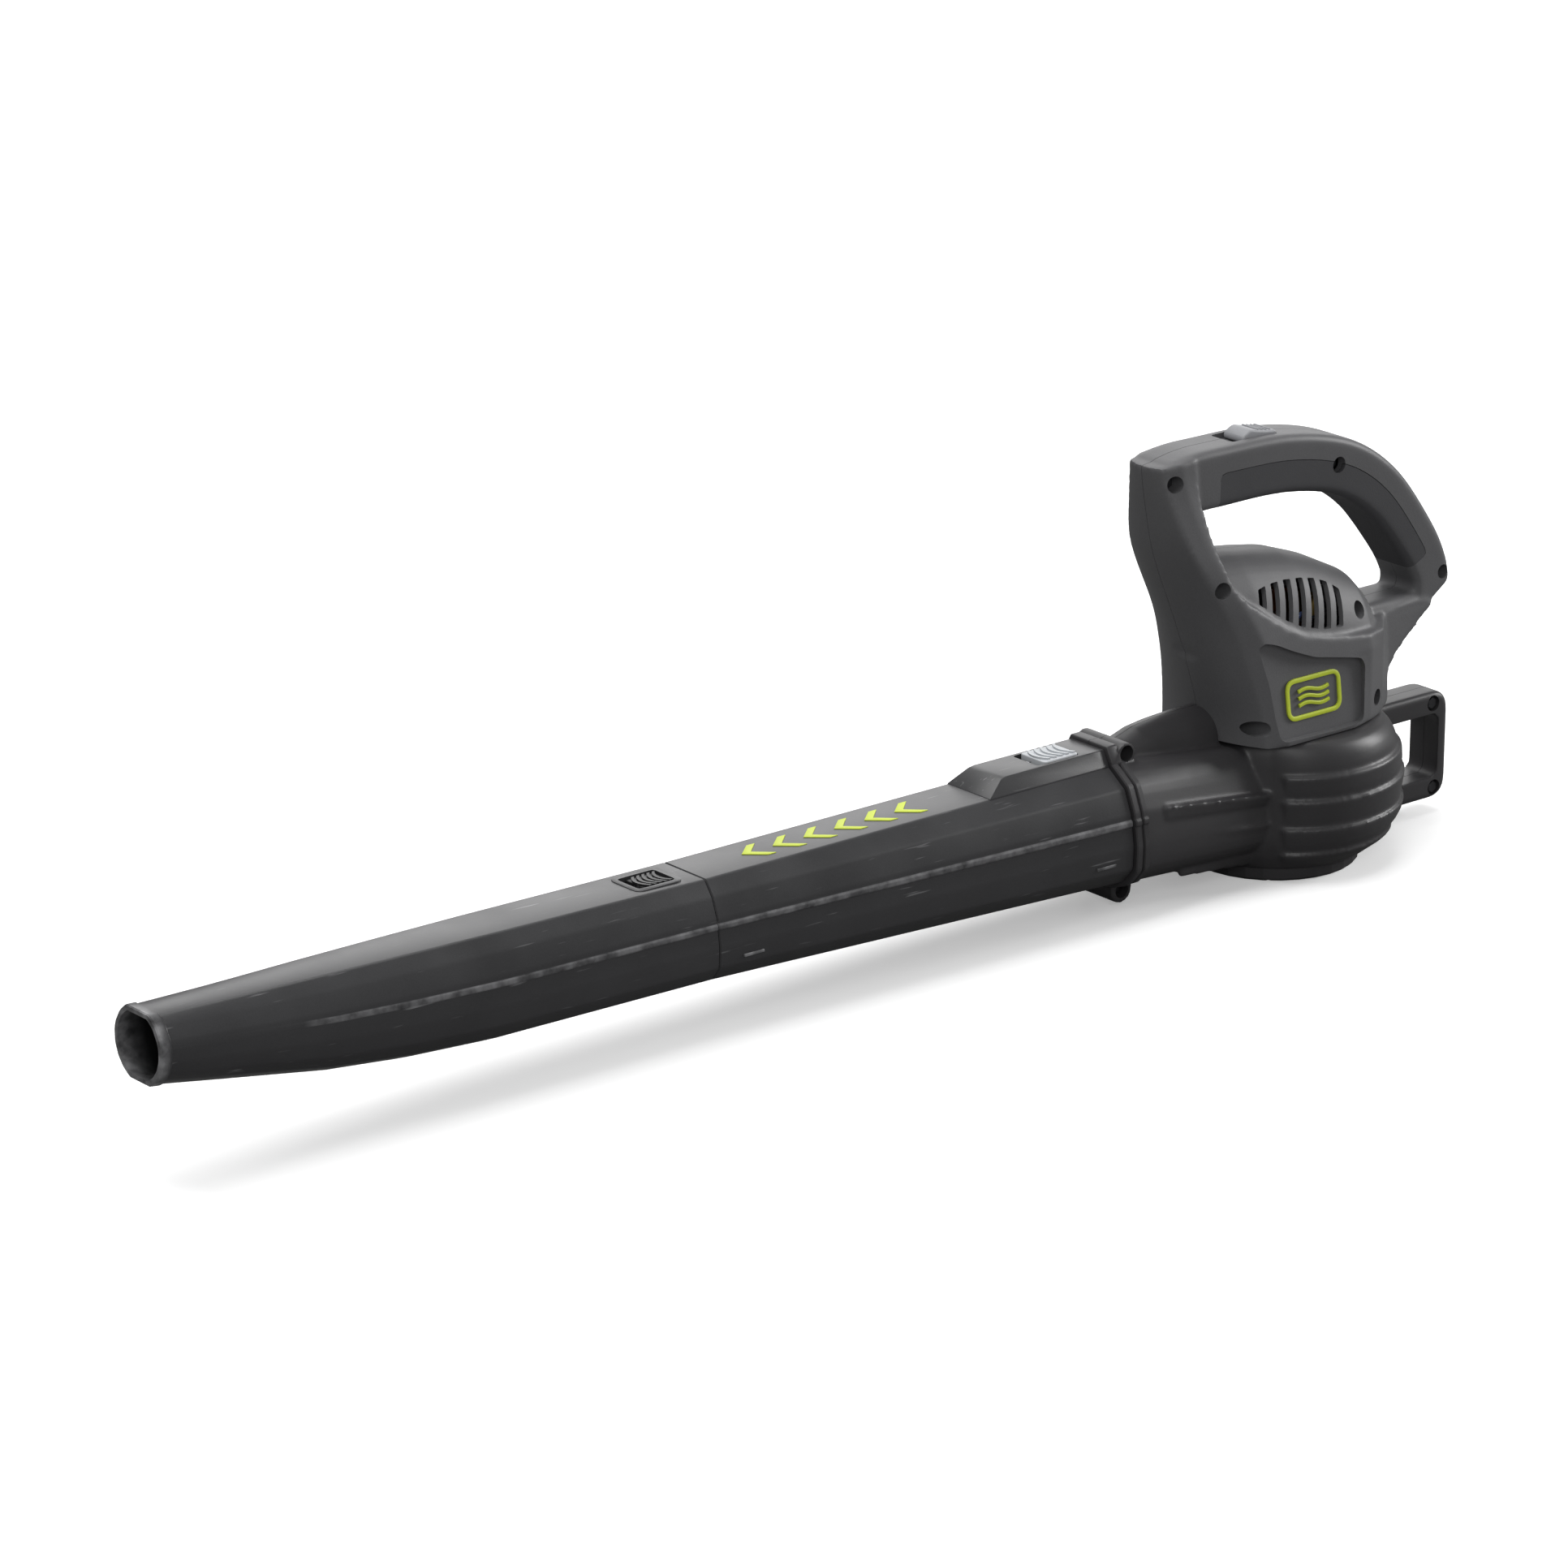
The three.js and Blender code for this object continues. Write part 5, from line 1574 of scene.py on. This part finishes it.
NODE_FINISHES = {
    # painted shade: the intake cover takes the darker, shaded copy of the shell plastic
    "dark_shell": ["intake_cover"],
    "light_button": ["suppression_capacitor"],
    "nylon": ["switch_body", "power_inlet", "motor_bracket_lower", "motor_bracket_upper", "impeller"],
    "carbon": ["brush_left", "brush_right"],
    "lead_jacket": ["lead_live", "lead_neutral", "lead_motor"],
    "lamination": ["stator_core", "armature_core"],
    "copper": ["field_coil_front", "field_coil_rear", "armature_windings", "commutator"],
    "brass": ["inlet_pin_live", "inlet_pin_neutral", "brush_holder_left", "brush_holder_right"],
}


def dress_nodes(frame: dict, palette: Palette) -> None:
    """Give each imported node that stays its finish.

    Args:
        palette: the finishes.
    """
    by_node = {node: finish for finish, nodes in NODE_FINISHES.items() for node in nodes}
    for name in frame["nodes"]:
        node = bpy.data.objects[name]
        if not node.hide_render:
            # screws sunk in wells get the dark steel: painted shade of the wells
            sunk = name.startswith(("housing_screw", "handle_screw"))
            palette.paint(node, by_node.get(name, "well_shaded_steel" if sunk else "steel"))


SOFTBOXES = (  # name, place, target, size and power
    ("softbox_top", (-0.4, 0.6, 2.6), (-0.2, 0, 0.1), 2.4, 66),
    ("softbox_back", (2.1, 2.6, 1.55), (-0.3, 0, 0.1), 2.4, 32),
    ("softbox_left", (-1.7, -2.5, 1.6), (-0.2, 0, 0.1), 1.2, 22),
    ("softbox_right", (2.5, -0.95, 1.15), (0, 0, 0.1), 0.9, 46),
)


@dataclass
class Studio:
    """The floor, the lights and the camera."""

    azimuth: float = -39.5
    elevation: float = 19.0
    place: Point = (-2.451, -2.521, 1.249)
    lens: float = 144.3
    floor_seen: float = 0.9
    floor_bounce: float = 0.16
    floor_glow: float = 0.3
    sky_seen: float = 0.74
    sky: float = 0.26

    def floor(self) -> None:
        """A large pale floor."""
        deselect()
        bpy.ops.mesh.primitive_plane_add(size=14, location=(0, 0, -0.3 * MM))
        plane = bpy.context.object
        plane.name = "studio_floor"
        material, tree, shader = blank_material("pale_floor")
        seen = add_node(tree, "LightPath").outputs["Is Camera Ray"]
        bounced, direct = ((grey, grey, grey, 1) for grey in (self.floor_bounce, self.floor_seen))
        looks = {
            "Roughness": 0.9, "Base Color": blended(tree, seen, bounced, direct),
            "Emission Color": (1, 1, 1, 1), "Emission Strength": mixed(tree, "MULTIPLY", seen, self.floor_glow),
        }
        for label, value in looks.items():
            fill(tree, shader.inputs[label], value)
        plane.data.materials.append(material)

    def light(self, name: str, place: Point, target: Point, size: float, power: float) -> None:
        """A square soft light aimed at a point.

        Args:
            name: the light's name.
            place: where it stands, in metres.
            target: where it points.
            size: the length of its side.
            power: its power in watts.
        """
        data = bpy.data.lights.new(name, "AREA")
        data.size = size
        data.energy = power
        lamp = bpy.data.objects.new(name, data)
        bpy.context.scene.collection.objects.link(lamp)
        lamp.location = place
        lamp.rotation_euler = (Vector(target) - Vector(place)).to_track_quat("-Z", "Y").to_euler()

    def camera(self) -> None:
        """The camera, level and without shift."""
        data = bpy.data.cameras.new("camera")
        data.lens = self.lens
        data.sensor_width = 36
        data.clip_start, data.clip_end = 0.05, 60
        camera = bpy.data.objects.new("camera", data)
        bpy.context.scene.collection.objects.link(camera)
        a, e = math.radians(self.azimuth), math.radians(self.elevation)
        back = Vector((math.sin(a) * math.cos(e), -math.cos(a) * math.cos(e), math.sin(e)))
        camera.location = self.place
        camera.rotation_euler = (-back).to_track_quat("-Z", "Y").to_euler()
        bpy.context.scene.camera = camera

    def build(self) -> None:
        """Set up the whole studio."""
        world = bpy.data.worlds.new("studio")
        world.use_nodes = True
        tree = world.node_tree
        seen = add_node(tree, "LightPath").outputs["Is Camera Ray"]
        sky = tree.nodes["Background"].inputs
        sky["Color"].default_value = (1, 1, 1, 1)
        shown = mixed(tree, "MULTIPLY", seen, self.sky_seen)
        fill(tree, sky["Strength"], mixed(tree, "ADD", shown, self.sky))
        bpy.context.scene.world = world
        bpy.context.scene.view_settings.view_transform = "Standard"
        self.floor()
        self.camera()
        for lamp in SOFTBOXES:
            self.light(*lamp)


def main() -> None:
    """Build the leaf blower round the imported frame."""
    logging.basicConfig(level=logging.INFO, format="%(message)s")
    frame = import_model()
    Studio().build()
    palette = Palette()
    palette.build()
    tubes = AirTubes(palette)
    tubes.build()
    FanHousing(palette, tubes).build()
    HandleShells(palette).build()
    dress_nodes(frame, palette)


if __name__ == "__main__":
    main()
